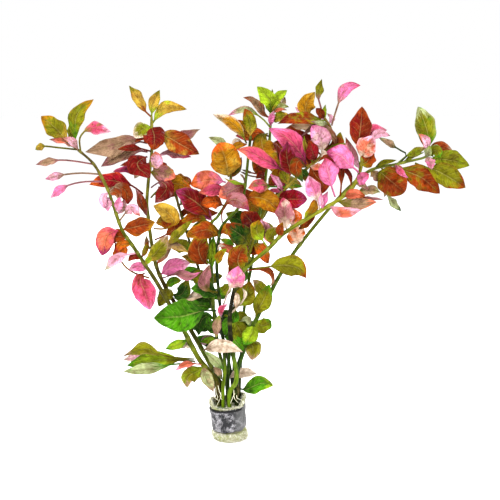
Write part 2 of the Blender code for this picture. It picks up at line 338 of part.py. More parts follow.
         11.5, 4, 4, 0.28, "gold amber gold"),
        ([(66, 223.5), (63.2, 232.5), (61.8, 240), (64.3, 250.8)], 5.6, 30, -4, 0.45, "mauve olive olive"),
        ([(66, 223.8), (63, 227), (60.3, 230.3)], 6, 12, 7, 0.08, "wine rust wine"),
        ([(66.5, 222.5), (66.2, 229), (67, 232.8)], 3, 25, 1, 0.10, "lime lime sage"),
        ([(69, 219), (71.5, 223), (68, 226.6)], 3.6, 20, -5, 0.12, "blush blush taupe"),
        ([(70.7, 215.5), (73.6, 226.3), (77.6, 237.6), (83.2, 245.4), (91.5, 246.3)],
         8, 15, -6, 0.40, "taupe pink rose"),
        ([(66.5, 222.6), (53, 226), (45.5, 231)], 4.4, 25, -7, 0.50, "blush blush blush"),
        ([(69, 219.2), (55, 217.5), (38.5, 216)], 7, 48, 15, 0.15, "lime taupe rust"),
        ([(68.5, 220), (62, 219.7), (56.5, 221)], 4, 30, 18, 0.10, "sage sage mauve"),
        ([(64, 197.2), (54, 207), (46.5, 212), (42, 218)], 9.5, 12, -1, 0.15, "rust wine rust"),
        ([(0.8, 72), (6.5, 75.5), (13, 71)], 8.5, 10, 9, 0.10, "green lime green"),
        ([(2.6, 86), (8, 84.5), (11, 77)], 8, 10, 4, 0.10, "olive olive green"),
        ([(13.5, 128), (19, 131), (24, 136)], 7, 15, -3, 0.10, "rust rust olive"),
        ([(46, 181), (51.5, 184.5), (54, 178)], 6, 15, 4, 0.10, "rust dark olive"),
    ],
    "top_stem": [
        ([(28.5, 226), (27.3, 236), (19, 245.4)], 10, 20, 6, 0.05, "green lime lime"),
        ([(28.3, 225.2), (29.6, 235), (29.6, 243.8)], 4, 40, 2, 0.06, "dark green olive"),
        ([(28.6, 227.5), (32, 236.5), (40, 242.9)], 7.5, 18, 1, 0.06, "gold lime lime"),
        ([(28.6, 227), (34, 231.5), (38.6, 238)], 8, 18, -3, 0.08, "gold cream taupe"),
        ([(28.6, 226.5), (36, 231.5), (41.4, 231)], 4, 35, 5, 0.20, "olive sage olive"),
        ([(28.6, 225.5), (34, 229.3), (40, 229)], 2.6, 30, 8, 0.20, "salmon salmon taupe"),
        ([(28.3, 217.5), (28.8, 223), (31, 228.5)], 4.8, 20, 7, 0.10, "pink pink blush"),
        ([(28.5, 221), (34.5, 224.3), (41, 226)], 6.5, 25, 13, 0.12, "gold olive gold"),
        ([(28.3, 216.5), (23, 222.5), (14, 228.3), (6, 228.2), (-1.4, 225.2)],
         5, 25, -5, 0.30, "lime sage pink"),
        ([(28.5, 223), (23, 226.5), (20, 231.5), (15, 236.3), (9.2, 237.8)],
         5.8, 25, -2, 0.10, "rust taupe rust"),
        ([(27.9, 210.5), (20, 212.3), (12, 211.5), (3.8, 210.8)], 9.5, 8, 22, 0.14, "rust orange rose"),
        ([(28.1, 213.5), (22.5, 209.5), (24, 200), (34.3, 190)], 15.5, 6, 23, 0.05, "olive amber rust"),
        ([(27.6, 207), (31.8, 204), (33, 197), (31, 190)], 5.4, 30, 14, 0.10, "rust wine rust"),
        ([(26, 187), (21, 187.8), (15.5, 194.5)], 9.5, 12, 7, 0.06, "rust rust olive"),
        ([(25, 180), (21.5, 183.2), (18, 181)], 5.5, 20, 9, 0.08, "wine wine rust"),
        ([(25.5, 184), (16.5, 184.7), (8, 187.3)], 1.8, 30, 5, 0.50, "salmon taupe taupe"),
        ([(25.2, 182), (15, 182.7), (7, 186)], 1.4, 30, 2, 0.60, "taupe taupe taupe"),
        ([(24, 172), (34, 182), (44, 186)], 11, 15, -12, 0.20, "rust amber rust"),
        ([(26.5, 195), (38, 203), (48, 204)], 12, 15, -10, 0.15, "wine rust plum"),
        ([(27, 200), (21, 203), (14, 200)], 11, 10, -12, 0.15, "olive orange rust"),
        ([(22, 165), (12, 168), (2, 166)], 12, 10, -12, 0.18, "olive rust wine"),
        ([(18, 140), (26, 146), (32, 141)], 9, 15, -8, 0.15, "olive olive taupe"),
        ([(14.5, 117), (10, 124), (6, 130)], 11, 10, -12, 0.15, "green olive rust"),
        ([(11, 96), (13, 102), (15, 106)], 9.5, 10, -10, 0.12, "green dark olive"),
        ([(8.7, 72), (14, 77), (21, 77)], 8.5, 10, 2, 0.12, "green lime green"),
        ([(8.3, 63), (3, 68), (-4, 70.5)], 7.5, 10, 3, 0.12, "green dark green"),
    ],
    "back_left_stem": [
        ([(-40, 177), (-46, 184), (-52, 193)], 13.2, 10, -8, 0.12, "olive rust wine"),
        ([(-39.5, 176), (-34, 178), (-28, 181)], 12, 10, -12, 0.12, "lime amber rust"),
        ([(-37, 168), (-44, 172), (-53, 170)], 12, 12, -12, 0.15, "rust wine crimson"),
        ([(-36, 162), (-28, 167), (-18, 168)], 13.2, 10, -14, 0.15, "olive amber orange"),
        ([(-33, 150), (-42, 152), (-52, 150)], 12, 10, -13, 0.15, "olive rust amber"),
        ([(-31, 144), (-21, 145.5), (-5, 142.5)], 12, 10, -15, 0.15, "green olive rust"),
        ([(-26, 130), (-34, 134), (-42, 133)], 10.8, 12, -12, 0.15, "green olive amber"),
        ([(-24, 124), (-16, 130), (-10, 137)], 10.8, 10, -14, 0.15, "green olive rust"),
        ([(-19, 110), (-27, 114), (-36, 114)], 10.8, 10, -12, 0.15, "green green olive"),
        ([(-15, 100), (-8, 100), (-2, 98)], 8.4, 10, -12, 0.15, "green green dark"),
        ([(-12, 90), (-21, 92), (-32, 89)], 14.4, 10, -14, 0.15, "green green green"),
        ([(-6, 72), (-12, 77), (-18, 80)], 9.6, 10, -12, 0.15, "green green olive"),
        ([(-4.3, 66), (-14, 66.5), (-24, 70)], 9.5, 10, -10, 0.15, "dark dark green"),
        ([(-8.3, 80), (-18, 78.5), (-28, 76.5)], 10, 10, -8, 0.15, "green dark dark"),
        ([(-9, 82), (-2, 85), (5, 83)], 8.5, 10, -8, 0.15, "dark dark olive"),
        ([(-34.3, 152), (-33.5, 155.5), (-31, 158), (-27.5, 156)], 5, 15, -4, 0.10, "rust rust wine"),
        ([(-17, 105), (-12, 111), (-5, 113)], 8, 10, -10, 0.15, "green olive olive"),
        ([(-34, 153), (-22, 156), (-8, 157)], 9, 10, -12, 0.15, "rust rust rust"),
    ],
    "back_right_stem": [
        ([(48, 201), (45, 207), (38, 212)], 12, 10, -10, 0.10, "wine rust amber"),
        ([(47, 199), (53, 206), (61, 210)], 13.2, 10, -12, 0.12, "rust amber rust"),
        ([(43, 189), (51, 194), (60, 193)], 12, 12, -14, 0.15, "olive rust wine"),
        ([(41, 186), (33, 191), (24, 191)], 13.2, 10, -15, 0.15, "olive amber orange"),
        ([(36, 176), (44, 178), (50, 176)], 9.6, 15, -14, 0.15, "green olive rust"),
        ([(29, 163), (35, 168), (34, 176)], 9.6, 15, -12, 0.15, "olive rust crimson"),
        ([(24, 155), (18, 161), (10, 163)], 12, 10, -15, 0.15, "green amber rust"),
        ([(16, 142), (8, 151), (-3, 157)], 12, 10, -15, 0.15, "green dark olive"),
        ([(11, 127), (15, 134), (20, 138)], 9.6, 10, -12, 0.15, "green olive olive"),
        ([(6, 108), (9, 112), (11, 118)], 8.4, 10, -12, 0.12, "green green olive"),
        ([(3.5, 88), (8, 79), (13, 74)], 9.6, 10, -12, 0.15, "green green dark"),
        ([(3.8, 70), (-2, 75), (-8, 77)], 9.6, 10, -12, 0.15, "green green olive"),
    ],
}

SLOT_OF = {
    "green": "leaf_green", "dark": "leaf_green", "lime": "leaf_green", "sage": "leaf_green",
    "olive": "leaf_olive", "gold": "leaf_amber", "amber": "leaf_amber", "orange": "leaf_amber",
    "rust": "leaf_red", "wine": "leaf_red", "crimson": "leaf_red", "plum": "leaf_red",
    "salmon": "leaf_pink", "rose": "leaf_pink", "pink": "leaf_pink", "blush": "leaf_pink",
    "mauve": "leaf_pink", "taupe": "leaf_pale", "cream": "leaf_pale",
}
FINISHES = {
    "stem": ((0.30, 0.33, 0.06, 1.0), 0.5, 0.0),
    "leaf_green": ((0.16, 0.36, 0.04, 1.0), 0.45, 0.0),
    "leaf_olive": ((0.30, 0.27, 0.05, 1.0), 0.45, 0.0),
    "leaf_amber": ((0.62, 0.29, 0.04, 1.0), 0.45, 0.0),
    "leaf_red": ((0.28, 0.05, 0.02, 1.0), 0.45, 0.0),
    "leaf_pink": ((0.72, 0.30, 0.32, 1.0), 0.5, 0.0),
    "leaf_pale": ((0.62, 0.48, 0.34, 1.0), 0.5, 0.0),
    "wool": ((0.66, 0.66, 0.52, 1.0), 0.95, 0.0),
    "lead": ((0.34, 0.34, 0.34, 1.0), 0.45, 1.0),
}


def seen(across, up, back):
    """The point that the front view shows at across and up, as far back as asked for."""
    spot = Vector((across, up * math.sin(LOOK_DOWN), up * math.cos(LOOK_DOWN)))
    ray = spot - EYE
    return EYE + ray * ((back - EYE.y) / ray.y)


def lap_lift(place):
    """How much higher the strip's rim stands on the side where its inner turn shows."""
    return LAP_LIFT * max(0.0, math.cos(math.atan2(place.y, place.x) - LAP_TOWARDS)) ** 4


def wrapped(place):
    """Where a point of the upright plug is once it is wrapped: low in front at its rim, and leaned."""
    x, y, z = place
    if z > RIM_FROM:
        across = math.hypot(x, y)
        ahead = y / max(across, 1.0)
        share = max(0.0, min(1.0, (ahead + 0.8) / 0.65))
        high = RIM_FRONT + (1.0 - RIM_FRONT) * share * share * (3.0 - 2.0 * share)
        high *= 1.0 - (1.0 - RIM_BACK) * max(0.0, ahead) ** 2
        z = RIM_FROM + (z - RIM_FROM) * high + lap_lift(place) * max(0.0, min(1.0, (across - 7.0) / 4.0))
    z += LEAN * x * max(0.0, min(1.0, (z - 4.4) / (LEAN_FROM - 4.4)))
    return Vector((x - LEAN * max(0.0, z - LEAN_FROM), y, z))


def nearest_on(points, spot):
    """The nearest place on a line of points: its share along, span and distance."""
    best = None
    for index in range(len(points) - 1):
        start = points[index]
        step = points[index + 1] - start
        share = max(0.0, min(1.0, (spot - start).dot(step) / step.length_squared))
        away = (start + step * share - spot).length
        if best is None or away < best[0]:
            best = (away, index, share)
    return best


def smooth_line(points, steps=8):
    """A dense smooth line through the points."""
    ends = [points[0] * 2 - points[1]] + list(points) + [points[-1] * 2 - points[-2]]
    line = []
    for index in range(1, len(ends) - 2):
        before, here, there, after = ends[index - 1:index + 3]
        for step in range(steps):
            t = step / steps
            line.append(0.5 * (2 * here + (there - before) * t
                               + (2 * before - 5 * here + 4 * there - after) * t * t
                               + (3 * here - before - 3 * there + after) * t ** 3))
    line.append(points[-1].copy())
    return line


def along(line, shares):
    """The places at these shares of a line's length, each with the line's direction there."""
    lengths = [0.0]
    for index in range(1, len(line)):
        lengths.append(lengths[-1] + (line[index] - line[index - 1]).length)
    places = []
    for share in shares:
        goal = share * lengths[-1]
        index = 1
        while index < len(line) - 1 and lengths[index] < goal:
            index += 1
        span = lengths[index] - lengths[index - 1]
        part = (goal - lengths[index - 1]) / span
        place = line[index - 1].lerp(line[index], part)
        before = line[max(0, index - 3)]
        after = line[min(len(line) - 1, index + 2)]
        places.append((place, (after - before).normalized()))
    return places


def stem_axis(name):
    """A stem's points from its foot in the wool to its top."""
    foot, _, _, points = STEMS[name]
    return [Vector((foot[0], foot[1], FOOT_Z))] + [seen(*point) for point in points]


def stem_radius(name, share):
    """A stem's radius at a share of its length."""
    _, thick, thin, _ = STEMS[name]
    return 0.5 * (thick + (thin - thick) * share)


def leaf_line(name, row, near):
    """The smooth line of a leaf's rib, which starts on its stem's axis."""
    flat = [Vector(point) for point in row[0]]
    axis = stem_axis(name)
    shown = [Vector((point[0], point[1])) for point in STEMS[name][3]]
    _, index, share = nearest_on(shown, flat[0])
    base = axis[index + 1].lerp(axis[index + 2], share)
    lengths = [0.0]
    for step in range(1, len(flat)):
        lengths.append(lengths[-1] + (flat[step] - flat[step - 1]).length)
    points = [base]
    for step in range(1, len(flat)):
        share = lengths[step] / lengths[-1]
        back = base.y - near * share * (1.4 - 0.4 * share)
        points.append(seen(flat[step].x, flat[step].y, back))
    return smooth_line(points)


def off_stem(name, line):
    """The part of a leaf's line that is clear of its own stem."""
    axis = stem_axis(name)
    _, index, share = nearest_on(axis, line[0])
    radius = stem_radius(name, (index + share) / (len(axis) - 1))
    start = 0
    while start < len(line) - 6 and nearest_on(axis, line[start])[0] < radius + CLEAR_OF_STEM:
        start += 1
    return line[start:]


def leaf_rows(row, line, squeeze):
    """The rows of points across a leaf, from its stalk to its tip, and each row's lift."""
    width, turn, stalk = row[1] * squeeze, math.radians(row[2]), row[4]
    width = width / max(0.42, math.cos(turn))
    small = row[1] < SMALL_WIDTH
    if stalk >= 0.18:
        shares = [(0.0, STALK_WIDTH), (stalk, STALK_WIDTH)]
    else:
        shares = [(0.0, STALK_WIDTH)]
    length = sum((there - here).length for here, there in zip(line, line[1:]))
    if small and length < SHORT_LENGTH:
        blade = [(0.5, 0.97), (1.0, 0.06)]
    elif small:
        blade = [(0.42, 0.97), (0.78, 0.64), (1.0, 0.06)]
    else:
        blade = [(0.2, 0.68), (0.5, 1.0), (0.8, 0.60), (1.0, 0.06)]
    for share, wide in blade:
        shares.append((stalk + (1.0 - stalk) * share, max(0.5, width * wide)))
    places = along(line, [share for share, _ in shares])
    view = (line[len(line) // 2] - EYE).normalized()
    mean_side = (line[-1] - line[0]).normalized().cross(view).normalized()
    if mean_side.z > 0.0:
        turn = -turn
    rows = []
    for (place, onward), (_, wide) in zip(places, shares):
        side = (onward.cross(view).normalized() + mean_side).normalized()
        side = (side - onward * side.dot(onward)).normalized()
        side = side * math.cos(turn) + onward.cross(side) * math.sin(turn)
        lift = side.cross(onward).normalized()
        if lift.dot(view) > 0.0:
            lift = -lift
        edge = lift * (FOLD * wide * 0.5)
        half = side * (wide * 0.5)
        if small:
            rows.append(([place - half, place + half], lift))
        else:
            rows.append(([place - half + edge, place, place + half + edge], lift))
    return rows


def rows_cross(rows):
    """Whether two rows of a leaf cross, so that its sheet would fold over itself."""
    for (low, _), (high, _) in zip(rows, rows[1:]):
        onward = (high[len(high) // 2] - low[len(low) // 2]) if len(low) == 3 else (
            high[0] + high[1] - low[0] - low[1])
        for near_point, far_point in zip(low, high):
            if (far_point - near_point).dot(onward) <= 0.0:
                return True
    return False


def slab(rows, thick):
    """The corners and faces of a leaf made thicker on both sides, for finding what it meets."""
    corners = []
    across = len(rows[0][0])
    for points, lift in rows:
        corners += [point + lift * thick * 0.5 for point in points]
        corners += [point - lift * thick * 0.5 for point in points]
    faces = []
    for index in range(len(rows) - 1):
        low = index * across * 2
        high = low + across * 2
        ring = list(range(across)) + list(range(across * 2 - 1, across - 1, -1))
        for here, there in zip(ring, ring[1:] + ring[:1]):
            faces.append((low + here, low + there, high + there, high + here))
    return corners, faces


def box_of(points):
    """The lowest and highest corner of some points."""
    low = Vector([min(point[axis] for point in points) for axis in range(3)])
    high = Vector([max(point[axis] for point in points) for axis in range(3)])
    return low, high


def boxes_meet(one, other):
    """Whether two boxes meet."""
    return all(one[0][axis] <= other[1][axis] and other[0][axis] <= one[1][axis] for axis in range(3))


def tube(points, radii, sides):
    """The corners and faces of a round tube along points, for finding what meets a stem."""
    corners = []
    for index, point in enumerate(points):
        onward = (points[min(index + 1, len(points) - 1)] - points[max(index - 1, 0)]).normalized()
        first = onward.cross(Vector((0.0, 1.0, 0.0))).normalized()
        second = onward.cross(first)
        for step in range(sides):
            turn = math.tau * step / sides
            corners.append(point + (first * math.cos(turn) + second * math.sin(turn)) * radii[index])
    faces = []
    for index in range(len(points) - 1):
        for step in range(sides):
            there = (step + 1) % sides
            faces.append((index * sides + step, index * sides + there,
                          (index + 1) * sides + there, (index + 1) * sides + step))
    return corners, faces


def place_leaves():
    """Every leaf's rows, each brought forward or back until it is clear of the stems and other leaves."""
    ranked = []
    for name, leaves in LEAVES.items():
        for number, row in enumerate(leaves, 1):
            flat = [Vector(point) for point in row[0]]
            length = sum((far - near).length for near, far in zip(flat, flat[1:]))
            size = row[1] * length * (0.6 if name.startswith("back") else 1.0)
            ranked.append((-size, name, number, row))
    ranked.sort(key=lambda item: item[:3])
    taken = []
    for name in STEMS:
        axis = stem_axis(name)
        radii = [stem_radius(name, index / (len(axis) - 1)) for index in range(len(axis))]
        corners, faces = tube(axis, radii, 8)
        taken.append((name, False, box_of(corners), BVHTree.FromPolygons(corners, faces), None))
    plug = [Vector((13.5 * math.cos(a), 13.5 * math.sin(a), z)) for z in (0.0, 30.0)
            for a in (math.tau * step / 24 for step in range(24))]
    wall = [(step, (step + 1) % 24, 24 + (step + 1) % 24, 24 + step) for step in range(24)]
    wall.append(tuple(range(24, 48)))
    taken.append(("plug", True, box_of(plug), BVHTree.FromPolygons(plug, wall), None))
    placed = {}
    for rank, (_, name, number, row) in enumerate(ranked):
        own = rank < OWN_LEAVES
        thick = LEAF_THICKNESS + 2.0 * CLEAR_OF_LEAVES
        found = None
        for squeeze in (1.0, 0.88, 0.76, 0.64):
            for step in (0, 1, -1, 2, -2, 3, -3, 4, -4, 5, -5, 6, -6, 7, -7, 8, -8):
                line = leaf_line(name, row, row[3] + 3.0 * step)
                if own:
                    line = off_stem(name, line)
                rows = leaf_rows(row, line, squeeze)
                if rows_cross(rows):
                    continue
                corners, faces = slab(rows, thick)
                box = box_of(corners)
                tree = BVHTree.FromPolygons(corners, faces)
                free_rows = leaf_rows(row, off_stem(name, line), squeeze)
                free_corners, free_faces = slab(free_rows, thick)
                free_tree = BVHTree.FromPolygons(free_corners, free_faces)
                meets = False
                for other, other_own, other_box, other_tree, other_free in taken:
                    if not boxes_meet(box, other_box):
                        continue
                    kin = other == name and not own and not other_own
                    if kin and other_free is None:
                        continue
                    if kin:
                        meets = bool(free_tree.overlap(other_free))
                    else:
                        meets = bool(tree.overlap(other_tree))
                    if meets:
                        break
                if not meets:
                    found = (rows, line, squeeze)
                    break
            if found:
                break
        if not found:
            continue
        taken.append((name, own, box, tree, free_tree))
        placed[(name, number)] = (row, found[0], own, found[1], found[2])
    return placed


def named_collection(name):
    """A new collection linked to the scene."""
    collection = bpy.data.collections.new(name)
    bpy.context.scene.collection.children.link(collection)
    return collection


def finish(slot):
    """The plain material of one slot."""
    material = bpy.data.materials.get(slot)
    if material is None:
        colour, rough, metal = FINISHES[slot]
        material = bpy.data.materials.new(slot)
        material.use_nodes = True
        shader = material.node_tree.nodes["Principled BSDF"]
        shader.inputs["Base Color"].default_value = colour
        shader.inputs["Roughness"].default_value = rough
        shader.inputs["Metallic"].default_value = metal
    return material


def mesh_object(name, corners, faces, collection, slot=None):
    """An object made of corners in mm and faces."""
    mesh = bpy.data.meshes.new(name)
    mesh.from_pydata([corner * MM for corner in corners], [], faces)
    mesh.update()
    obj = bpy.data.objects.new(name, mesh)
    collection.objects.link(obj)
    if slot:
        mesh.materials.append(finish(slot))
    return obj


def settle(obj):
    """Make an object's modifiers part of its mesh."""
    bpy.context.view_layer.update()
    evaluated = obj.evaluated_get(bpy.context.evaluated_depsgraph_get())
    mesh = bpy.data.meshes.new_from_object(evaluated)
    obj.modifiers.clear()
    obj.data = mesh
    shell = bmesh.new()
    shell.from_mesh(mesh)
    bmesh.ops.remove_doubles(shell, verts=shell.verts, dist=0.000002)
    bmesh.ops.recalc_face_normals(shell, faces=shell.faces)
    shell.to_mesh(mesh)
    shell.free()
    return obj


def round_rod(name, points, radii, collection, slot=None):
    """A round rod along points, drawn as a bevelled curve."""
    curve = bpy.data.curves.new(name, "CURVE")
    curve.dimensions = "3D"
    curve.bevel_depth = MM
    curve.bevel_resolution = STEM_SIDES
    curve.use_fill_caps = True
    spline = curve.splines.new("POLY")
    spline.points.add(len(points) - 1)
    for spot, point, radius in zip(spline.points, points, radii):
        spot.co = (*(point * MM), 1.0)
        spot.radius = radius
    drawn = bpy.data.objects.new(name + "_line", curve)
    collection.objects.link(drawn)
    bpy.context.view_layer.update()
    evaluated = drawn.evaluated_get(bpy.context.evaluated_depsgraph_get())
    mesh = bpy.data.meshes.new_from_object(evaluated)
    bpy.data.objects.remove(drawn)
    shell = bmesh.new()
    shell.from_mesh(mesh)
    bmesh.ops.remove_doubles(shell, verts=shell.verts, dist=0.000002)
    bmesh.ops.recalc_face_normals(shell, faces=shell.faces)
    shell.to_mesh(mesh)
    shell.free()
    mesh.name = name
    obj = bpy.data.objects.new(name, mesh)
    collection.objects.link(obj)
    mesh.materials.clear()
    if slot:
        mesh.materials.append(finish(slot))
    for face in mesh.polygons:
        face.use_smooth = True
    return obj


def leaf_object(name, rows, collection, slot):
    """A leaf: a sheet folded along its rib and given its thickness."""
    across = len(rows[0][0])
    corners = [point for points, _ in rows for point in points]
    faces = []
    for index in range(len(rows) - 1):
        for step in range(across - 1):
            low = index * across + step
            faces.append((low, low + 1, low + across + 1, low + across))
    obj = mesh_object(name, corners, faces, collection, slot)
    thicken = obj.modifiers.new("thickness", "SOLIDIFY")
    thicken.thickness = LEAF_THICKNESS * MM
    thicken.offset = 0.0
    return settle(obj)


def is_whole(mesh, least):
    """Whether a mesh is one closed body with at least so many faces."""
    shell = bmesh.new()
    shell.from_mesh(mesh)
    whole = len(shell.faces) >= least and all(len(edge.link_faces) == 2 for edge in shell.edges)
    if whole:
        shell.verts.ensure_lookup_table()
        ahead = [shell.verts[0]]
        reached = {shell.verts[0]}
        while ahead:
            corner = ahead.pop()
            for edge in corner.link_edges:
                far = edge.other_vert(corner)
                if far not in reached:
                    reached.add(far)
                    ahead.append(far)
        whole = len(reached) == len(shell.verts)
    shell.free()
    return whole


def joined(obj, others, operation):
    """Join each of a collection's objects to an object, or cut each from it."""
    for other in others.objects:
        before = obj.data
        for solver in ("EXACT", "MANIFOLD"):
            change = obj.modifiers.new("join", "BOOLEAN")
            change.operation = operation
            change.solver = solver
            change.object = other
            settle(obj)
            if is_whole(obj.data, 0.7 * len(before.polygons)):
                break
            obj.data = before
    return obj


def emptied(collection):
    """Remove what a collection holds, and the collection."""
    for obj in list(collection.objects):
        bpy.data.objects.remove(obj)
    bpy.data.collections.remove(collection)


def build_stems(plant, placed):
    """Each stem with its smaller leaves joined to it, and each large leaf on its own."""
    for name in STEMS:
        axis = stem_axis(name)
        radii = [stem_radius(name, index / (len(axis) - 1)) for index in range(len(axis))]
        stem = round_rod(name, axis, radii, plant, "stem")
        small = named_collection(name + "_small_leaves")
        for (grown_on, number), (row, rows, own, _, _) in placed.items():
            if grown_on != name:
                continue
            leaf_name = f"{name}_leaf_{number:02d}"
            if own:
                leaf_object(leaf_name, rows, plant, SLOT_OF[row[5].split()[1]])
            else:
                leaf_object(leaf_name, rows, small, "stem")
        if small.objects:
            joined(stem, small, "UNION")
        emptied(small)


def build_plug(plant, cutters):
    """The plug of wool, turned from its outline, with a socket for each stem."""
    corners = [Vector((radius, 0.0, height)) for radius, height in PLUG_OUTLINE]
    mesh = bpy.data.meshes.new("foam_plug")
    mesh.from_pydata([corner * MM for corner in corners], [(i, i + 1) for i in range(len(corners) - 1)], [])
    plug = bpy.data.objects.new("foam_plug", mesh)
    plant.objects.link(plug)
    turn = plug.modifiers.new("turn", "SCREW")
    turn.steps = PLUG_STEPS
    turn.render_steps = PLUG_STEPS
    turn.use_merge_vertices = True
    turn.merge_threshold = 0.00001
    settle(plug)
    for corner in plug.data.vertices:
        corner.co = wrapped(corner.co / MM) * MM
    for name in STEMS:
        axis = stem_axis(name)
        points = [axis[0] - (axis[1] - axis[0]).normalized() * SOCKET_GAP]
        radii = [stem_radius(name, 0.0) + SOCKET_GAP]
        for index in range(1, len(axis)):
            points.append(axis[index])
            radii.append(stem_radius(name, index / (len(axis) - 1)) + SOCKET_GAP)
            if axis[index].z > SOCKET_TOP:
                break
        socket = round_rod(name + "_socket", points, radii, cutters)
        socket.hide_render = True
        socket.display_type = "WIRE"
    joined(plug, cutters, "DIFFERENCE")
    plug.data.materials.clear()
    plug.data.materials.append(finish("wool"))
    return plug


def build_band(plant):
    """The lead strip, wound on from its hidden start to its end at the right front."""
    corners = []
    faces = []
    for step in range(BAND_STEPS + 1):
        share = step / BAND_STEPS
        angle = math.radians(BAND_END - BAND_WRAP * (1.0 - share))
        reach = BAND_OUTER - (BAND_SHEET + BAND_LAYER_GAP) * (1.0 - share) * BAND_WRAP / 360.0
        for level in (0.0, 1.0):
            radius = reach - BAND_SHEET * 0.5 + BAND_FLARE * (level - 0.5)
            place = Vector((radius * math.cos(angle), radius * math.sin(angle), 0.0))
            place.z = BAND_BOTTOM + (BAND_HEIGHT + lap_lift(place)) * level + LEAN * place.x
            place.x -= LEAN * (place.z - LEAN_FROM)
            corners.append(place)
    for step in range(BAND_STEPS):
        low = step * 2
        faces.append((low, low + 2, low + 3, low + 1))
    band = mesh_object("lead_band", corners, faces, plant, "lead")
    thicken = band.modifiers.new("sheet", "SOLIDIFY")
    thicken.thickness = BAND_SHEET * MM
    thicken.offset = 0.0
    return settle(band)


def main():
    for obj in list(bpy.data.objects):
        bpy.data.objects.remove(obj)
    plant = named_collection("ludwigia_ovalis")
    cutters = named_collection("cutters")
    build_plug(plant, cutters)
    build_band(plant)
    build_stems(plant, place_leaves())
    emptied(cutters)


main()
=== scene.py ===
import math
import random

import bmesh
import bpy
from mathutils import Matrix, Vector, noise
from mathutils.bvhtree import BVHTree


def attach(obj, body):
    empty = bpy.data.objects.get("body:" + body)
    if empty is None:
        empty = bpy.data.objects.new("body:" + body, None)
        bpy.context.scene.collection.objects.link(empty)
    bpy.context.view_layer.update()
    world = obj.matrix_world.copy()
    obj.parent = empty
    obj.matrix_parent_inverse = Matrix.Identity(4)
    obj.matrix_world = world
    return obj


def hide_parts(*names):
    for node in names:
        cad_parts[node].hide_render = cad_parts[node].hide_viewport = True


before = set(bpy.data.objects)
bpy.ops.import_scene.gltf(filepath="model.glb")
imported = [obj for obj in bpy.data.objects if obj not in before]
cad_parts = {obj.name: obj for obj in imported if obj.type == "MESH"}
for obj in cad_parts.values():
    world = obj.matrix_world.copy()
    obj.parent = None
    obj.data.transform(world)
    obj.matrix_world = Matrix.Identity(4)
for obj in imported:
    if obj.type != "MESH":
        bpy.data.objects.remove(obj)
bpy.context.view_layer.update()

bl_info = {
    "name": "Ludwigia bunch",
    "version": (1, 0, 0),
    "blender": (4, 5, 0),
    "location": "View3D > Sidebar > Ludwigia",
    "description": "A weighted bunch of ludwigia ovalis cuttings in a wool plug with a lead strip",
    "category": "Add Mesh",
}

# Lengths are in mm from the middle of the foot, and this turns them into metres
MM = 0.001

# The front view: where the eye is, how far it looks down, and its lens
EYE = Vector((14.0, -648.0, 247.2))
LOOK_DOWN = math.radians(10.0)
FOCAL_LENGTH = 70.0

# Stems: where they end in the wool, how far from a node they swell, the least way from node to node, and
# the share of its radius that a stem's last point keeps
FOOT_Z = 9.0
NODE_REACH = 1.5
NODE_GAP = 4.5
STEM_TIP = 0.6

# Leaves: thickness, stalk, fold and gaps, below which sizes a leaf is small or short, how many are their
# own pieces, and how much a leaf of a back stem counts
LEAF_THICKNESS = 0.45
STALK_WIDTH = 1.2
STALK_FROM = 0.18
NARROWEST = 0.42
FOLD = 0.16
CLEAR_OF_STEM = 0.95
CLEAR_OF_LEAVES = 0.33
SMALL_WIDTH = 7.0
SHORT_LENGTH = 15.0
OWN_LEAVES = 48
BACK_SHARE = 0.6

# Leaves: how wide the solids' rows are at shares of a blade's length, on a short, a small and a large leaf
SHORT_BLADE = [(0.5, 0.97), (1.0, 0.06)]
SMALL_BLADE = [(0.42, 0.97), (0.78, 0.64), (1.0, 0.06)]
LARGE_BLADE = [(0.2, 0.68), (0.5, 1.0), (0.8, 0.60), (1.0, 0.06)]

# Leaves: a leaf is brought forward or back by these steps, then made narrower, until it is clear
SQUEEZES = (1.0, 0.88, 0.76, 0.64)
STEP_LENGTH = 3.0
STEPS = [0] + [way * step for step in range(1, 9) for way in (1, -1)]

# Leaves: the outline of a finished blade, as its width at shares of its length
BLADE = [(0.0, 0.0), (0.08, 0.24), (0.2, 0.62), (0.33, 0.90), (0.45, 1.0), (0.58, 0.95), (0.72, 0.75),
         (0.86, 0.42), (0.95, 0.16), (1.0, 0.0)]

# Leaves: how far a margin wanders, a blade crumples and it droops, as shares of half its width
MARGIN_WANDER = 0.22
CRUMPLE = 0.34
DROOP = 0.10

# Leaves: the rib's depth and half its width, the shares of its thickness that a blade loses at its margin
# and its tip, and half the least thickness
RIB_DEPTH = 0.42
RIB_HALF = 0.55
MARGIN_THINNING = 0.7
TIP_THINNING = 0.55
THINNEST = 0.02

# Wool plug: radius and height of its outline, up the outside and down into its hollow top
PLUG_OUTLINE = [(0.0, 0.0), (11.2, 0.0), (12.0, 0.9), (12.1, 4.4), (11.2, 5.9), (9.7, 6.7), (9.8, 8.5),
                (10.1, 23.7), (10.4, 23.9), (12.1, 24.8), (12.5, 26.9), (11.9, 28.3), (10.9, 27.9),
                (10.2, 26.0), (9.0, 24.4), (7.0, 23.9), (0.0, 23.8)]
PLUG_STEPS = 96
PLUG_RADIUS = 13.5
PLUG_TOP = 30.0
UNDER_BAND_FROM = 6.6
HELD_LUMPS = 0.2
LEAN = 0.085
LEAN_START = 4.4
LEAN_FROM = 7.3
RIM_FROM = 23.65
RIM_FRONT = 0.12
RIM_BACK = 0.6
LAP_LIFT = 1.6
LAP_TOWARDS = math.radians(15.0)

# Loose fibres: the heights between which the wool grows none, and how high off the floor they stay
BARE_FROM = 6.0
BARE_FOOT = 0.7
FIBRE_FLOOR = 0.05

